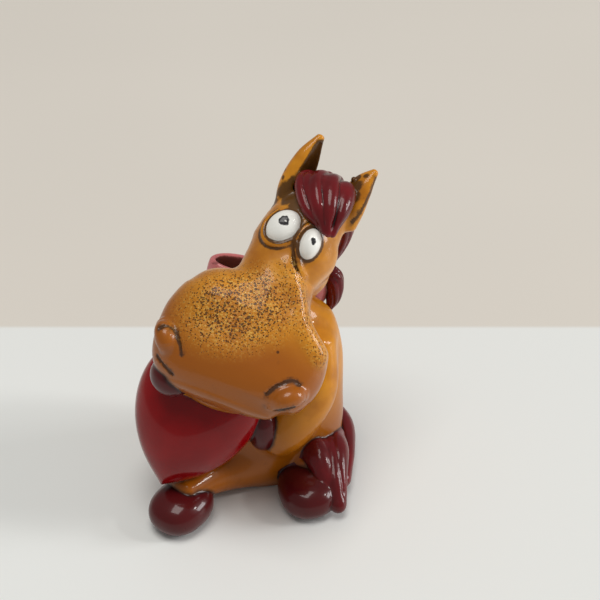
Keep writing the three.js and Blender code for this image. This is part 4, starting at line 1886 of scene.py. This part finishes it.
@dataclass
class Hair:
    """The forelock, the mane and its curl, and the tail."""

    trunk: Trunk
    head: Head
    forelock: float = 5.0
    mane: float = 4.6
    tail: float = 7.2

    def _forelock_strand(self, number: int, spread: float) -> Lump:
        """Lays one strand from the crown over the brow.

        Args:
            number: Its number, which shifts its grooves.
            spread: Its place, from -1 at the left to 1 at the right.

        Returns:
            The strand.
        """
        thick, sink = self.forelock, spread ** 2
        crown, brow = self.head.crown, self.head.skull_depth / 2

        def point(across: float, up: float, out: float) -> Array:
            """Gives a point on the strand, in the head's frame."""
            return vec(across * thick, crown + up * thick, brow + out * thick)

        return strand([
            point(0.2 + 0.56 * spread, 1.08 - 0.3 * sink, -1.3),
            point(0.2 + 0.78 * spread, 0.46 + 0.12 * spread, -0.2 - 0.32 * sink),
            point(0.64 + 0.58 * spread, -0.46 + 0.18 * spread, 0.24 - 0.26 * sink),
            point(1.08 + 0.24 * spread, -1.32 + 0.12 * abs(spread), 0.2 - 0.12 * abs(spread)),
        ], thick, UP, 0.3, self.head.place(), Grooves(3, 0.5, 0.35, 1.7 * number))

    def _mane_strand(self, number: int, spread: float) -> Lump:
        """Lays one strand from the crown down the nape to the bow.

        Args:
            number: Its number, which shifts its grooves.
            spread: Its place, from -1 at the left to 1 at the right.

        Returns:
            The strand.
        """
        thick, trunk, head = self.mane, self.trunk, self.head

        def low(across: float, behind: float, part: float) -> Array:
            """Gives a point behind the neck."""
            offset = vec(across * trunk.neck_width, trunk.neck_width / 2 + behind * thick, 0)
            return trunk.nape(part) + offset

        def fan(share: float) -> Array:
            """Gives the strand's shift to the side."""
            return vec(share * spread * thick, 0, 0)

        tuck = vec(0, -0.39 * spread ** 2 * thick, 0)
        crown = head.place().out(vec(0.09 * head.skull_width, head.crown + 0.22 * thick,
                                     0.06 * head.skull_depth))
        back = head.place().out(vec(0.13 * head.skull_width, head.crown, -head.skull_depth / 2))
        return strand([
            crown + fan(0.35) + 0.5 * tuck,
            back + fan(0.87) + tuck,
            low(0.31, 0.65, 0.885) + fan(1.04) + tuck,
            low(0.33, 0.5, 0.46) + fan(1.04) + tuck,
        ], thick, unit(vec(0, 1, 0.3)), 0.3, Place(), Grooves(8, 0.3, 0.6, 2.1 * number))

    def _tail_strand(self, number: int, route: Sequence[Vec]) -> Lump:
        """Lays one strand of the tail round the hip.

        Args:
            number: Its number, which shifts its grooves.
            route: Shares of the torso across and ahead, and heights in strands.

        Returns:
            The strand.
        """
        points = [self.trunk.point(across, ahead, up * self.tail) for across, ahead, up in route]
        grooves = Grooves(3, 0.4, 0.6, 1.3 * number)
        return strand(points, self.tail, UP, 0.55, Place(), grooves)

    def parts(self, bow: "Bow") -> list[Part]:
        """Lists the hair's lumps.

        Args:
            bow: The bow, round whose right end the mane's last lock curls.

        Returns:
            The lumps.
        """
        found = []
        for i, spread in enumerate((-1, -0.4, 0.25, 0.95)):
            form = self._forelock_strand(i, spread)
            found.append(Part(f"forelock_strand_{i + 1}", form, WINE, 0.35, 0.25))
        for i, spread in enumerate((-1, -0.5, 0, 0.5, 1)):
            found.append(Part(f"mane_strand_{i + 1}", self._mane_strand(i, spread), WINE, 0.35, 0.3))
        thick = self.mane
        curl = [bow.place().out(vec(bow.length + past * thick, behind * thick, up * bow.width))
                for past, behind, up in ((-0.72, 0.24, 0.87), (0.02, 0, 0.62), (0.28, -0.17, -0.07),
                                         (0.2, -0.3, -0.68))]
        form = strand(curl, thick, unit(vec(0, 1, 0.3)), grooves=Grooves(7, 0.25, 0.8))
        found.append(Part("mane_curl", form, WINE, 0.3, 0.3))
        routes = [
            [(0.11, -0.89, 0.97), (0.61, -0.83, 0.69), (0.96, -0.35, 0.61), (1.03, 0.38, 0.61),
             (0.99, 1.03, 0.56)],
            [(0.89, 0.34, 1.11), (0.87, 0.76, 1.17), (0.89, 1.22, 0.92), (0.92, 1.57, 0.5)],
            [(0.64, 0.57, 1.25), (0.67, 0.85, 1.3), (0.76, 1.22, 0.97), (0.78, 1.52, 0.5)],
        ]
        for i, route in enumerate(routes):
            found.append(Part(f"tail_strand_{i + 1}", self._tail_strand(i, route), WINE, 0.4, 0.33))
        return found


@dataclass
class Bow:
    """The ribbon tied on the nape."""

    trunk: Trunk
    width: float = 6.0
    thickness: float = 1.8
    tilt: float = 13.0
    length: float = 13.4
    height: float = 7.8

    def place(self) -> Place:
        """Gives the bow's own frame."""
        shift = vec(-0.03 * self.trunk.neck_width, 0.345 * self.trunk.depth, 0)
        return Place(turn(1, self.tilt), self.trunk.nape(0.25) + shift)

    def parts(self) -> list[Part]:
        """Lists the bow's lumps.

        Returns:
            The lumps.
        """
        size = (0.4 * self.length, 0.87 * self.height, 1.2 * self.width)
        knot = Ball(size, np.zeros(3), np.eye(3), self.place())
        found = [Part("ribbon_knot", knot, PINK, 0.3, 0.3)]
        for name, side in (("left", -1), ("right", 1)):
            form = Loop(self.length, self.height, self.width, self.thickness, side, self.place())
            # The loops' inner walls get painted shade.
            marks = {"stain": form.inside}
            found.append(Part(f"ribbon_loop_{name}", form, PINK, 0.3, 0.3, marks))
        return found


@dataclass
class Figure:
    """The whole figurine."""

    coarse: float = 1.0
    order: tuple[str, ...] = (
        "heart", "torso", "foreleg_left", "fore_hoof_left", "head", "lower_lip", "eye_left",
        "eye_right", "eyelid_left", "eyelid_right", "ear_left", "ear_right", "nostril_left",
        "nostril_right", "hind_leg_left", "hind_leg_right", "hind_hoof_left", "hind_hoof_right",
        "foreleg_right", "fore_hoof_right", "forelock_strand_1", "forelock_strand_2",
        "forelock_strand_3", "forelock_strand_4", "ribbon_knot", "ribbon_loop_left",
        "ribbon_loop_right", "mane_strand_1", "mane_strand_2", "mane_strand_3", "mane_strand_4",
        "mane_strand_5", "mane_curl", "tail_strand_1", "tail_strand_2", "tail_strand_3")

    def parts(self) -> list[Part]:
        """Gathers the lumps in the potter's order.

        Returns:
            The lumps.
        """
        trunk = Trunk()
        heart, head, bow = Heart(trunk), Head(trunk), Bow(trunk)
        groups = [trunk, heart, head, Limbs(trunk, heart), bow]
        found = [part for group in groups for part in group.parts()]
        found += Hair(trunk, head).parts(bow)
        return sorted(found, key=lambda part: self.order.index(part.name))

    def build(self) -> None:
        """Makes every piece, dresses it and puts it on its body."""
        clay = Clay(self.parts(), self.coarse)
        made: dict[Finish, bpy.types.Material] = {}
        for part in clay.parts:
            piece = clay.shape(part)
            if part.finish not in made:
                made[part.finish] = part.finish.material(f"{part.finish.slot.value}_{len(made)}")
            piece.data.materials.append(made[part.finish])
            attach(piece, BODY)
            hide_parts(part.name)
            LOG.info("%s: %d faces", part.name, len(piece.data.polygons))


@dataclass(frozen=True)
class Lamp:
    """A soft square lamp: its place and width in millimetres, its watts and its tint."""

    name: str
    at: Vec
    size: float
    power: float
    tint: Vec


@dataclass
class Studio:
    """The table, the lamps and the camera."""

    target: Vec = (9.486, 7.292, 42.4)
    distance: float = 230.0
    elevation: float = 35.0
    lens: float = 66.24
    table_edge: float = 55.0
    floor_reach: float = 4.0
    table: tuple = colour(232, 234, 232)
    table_cloud: tuple = colour(227, 228, 226)
    wall: tuple = colour(220, 214, 205)
    wall_cloud: tuple = colour(214, 208, 199)
    view: tuple = colour(205, 201, 194)
    light: tuple = (1.0, 0.99, 0.97, 1.0)
    strength: float = 0.3
    lit: Vec = (0.0, 0.0, 35.0)
    lamps: tuple[Lamp, ...] = (
        Lamp("window", (2660.0, 80.0, 940.0), 960.0, 35.0, (0.98, 0.99, 1.0)),
        Lamp("ceiling", (-240.0, -480.0, 3500.0), 1800.0, 64.0, (1.0, 0.98, 0.94)),
        Lamp("bulb", (2000.0, -160.0, 1580.0), 240.0, 6.4, (1.0, 0.99, 0.96)),
    )

    def _floor(self) -> None:
        """Lays a large pale floor, slightly darker beyond the table's edge."""
        mesh = bpy.data.meshes.new("floor")
        reach = self.floor_reach
        corners = [(-reach, -reach, 0), (reach, -reach, 0), (reach, reach, 0), (-reach, reach, 0)]
        mesh.from_pydata(corners, [], [(0, 1, 2, 3)])
        floor = bpy.data.objects.new("floor", mesh)
        bpy.context.scene.collection.objects.link(floor)
        graph = Graph(bpy.data.materials.new("pale_floor"))
        split = graph.node("ShaderNodeSeparateXYZ", None, {0: graph.place()}, "Y")
        beyond = (split / MILLIMETRE).over(self.table_edge - 0.6, self.table_edge + 1.2)
        cloud = graph.noise(160.0, 2.0).over(0.3, 0.7)
        near = graph.blend(cloud * 0.4, self.table, self.table_cloud)
        far = graph.blend(cloud * 0.4, self.wall, self.wall_cloud)
        graph.surface({"Base Color": graph.blend(beyond, near, far), "Roughness": 0.5})
        mesh.materials.append(graph.owner)

    def _world(self) -> None:
        """Surrounds the figure with soft light and a pale view."""
        world = bpy.data.worlds.new("studio")
        bpy.context.scene.world = world
        graph = Graph(world)
        seen = graph.node("ShaderNodeLightPath", output="Is Camera Ray")
        through = graph.node("ShaderNodeLightPath", output="Is Transmission Ray")
        sockets = {"Color": self.light, "Strength": self.strength}
        light = graph.node("ShaderNodeBackground", None, sockets)
        view = graph.node("ShaderNodeBackground", None, {"Color": self.view})
        both = graph.node("ShaderNodeMixShader", None, {0: seen.larger(through), 1: light, 2: view})
        graph.node("ShaderNodeOutputWorld", None, {"Surface": both})

    def _hang(self, lamp: Lamp) -> None:
        """Hangs a lamp that shines at the figure.

        Args:
            lamp: The lamp.
        """
        made = bpy.data.lights.new(lamp.name, "AREA")
        made.shape = "SQUARE"
        made.size = lamp.size * MILLIMETRE
        made.energy = lamp.power
        made.color = lamp.tint
        hung = bpy.data.objects.new(lamp.name, made)
        bpy.context.scene.collection.objects.link(hung)
        self._aim(hung, lamp.at, self.lit)

    @staticmethod
    def _aim(thing: bpy.types.Object, at: Vec, target: Vec) -> None:
        """Puts a thing in its place and turns its -Z towards a target.

        Args:
            thing: A lamp or the camera.
            at: Its place, in millimetres.
            target: The point that it looks at.
        """
        back = unit(np.array(at) - np.array(target))
        right = unit(np.cross(UP, back))
        up = np.cross(back, right)
        matrix = np.eye(4)
        matrix[:3, :3] = np.stack([right, up, back], axis=1)
        matrix[:3, 3] = np.array(at) * MILLIMETRE
        thing.matrix_world = Matrix(matrix.tolist())

    def _camera(self) -> None:
        """Sets the camera at the photograph's angle."""
        camera = bpy.data.cameras.new("camera")
        camera.sensor_width = 36.0
        camera.lens = self.lens
        camera.clip_start = 0.01
        camera.clip_end = 20.0
        seen = bpy.data.objects.new("camera", camera)
        bpy.context.scene.collection.objects.link(seen)
        rise = math.radians(self.elevation)
        back = vec(0, -math.cos(rise), math.sin(rise)) * self.distance
        self._aim(seen, tuple(np.array(self.target) + back), self.target)
        bpy.context.scene.camera = seen

    def build(self) -> None:
        """Sets up everything."""
        bpy.context.scene.view_settings.view_transform = "Standard"
        self._camera()
        self._floor()
        self._world()
        for lamp in self.lamps:
            self._hang(lamp)


def main() -> None:
    """Builds the figurine and its studio."""
    logging.basicConfig(level=logging.INFO, format="%(message)s")
    Studio().build()
    Figure(coarse=1.0).build()


if __name__ == "__main__":
    main()
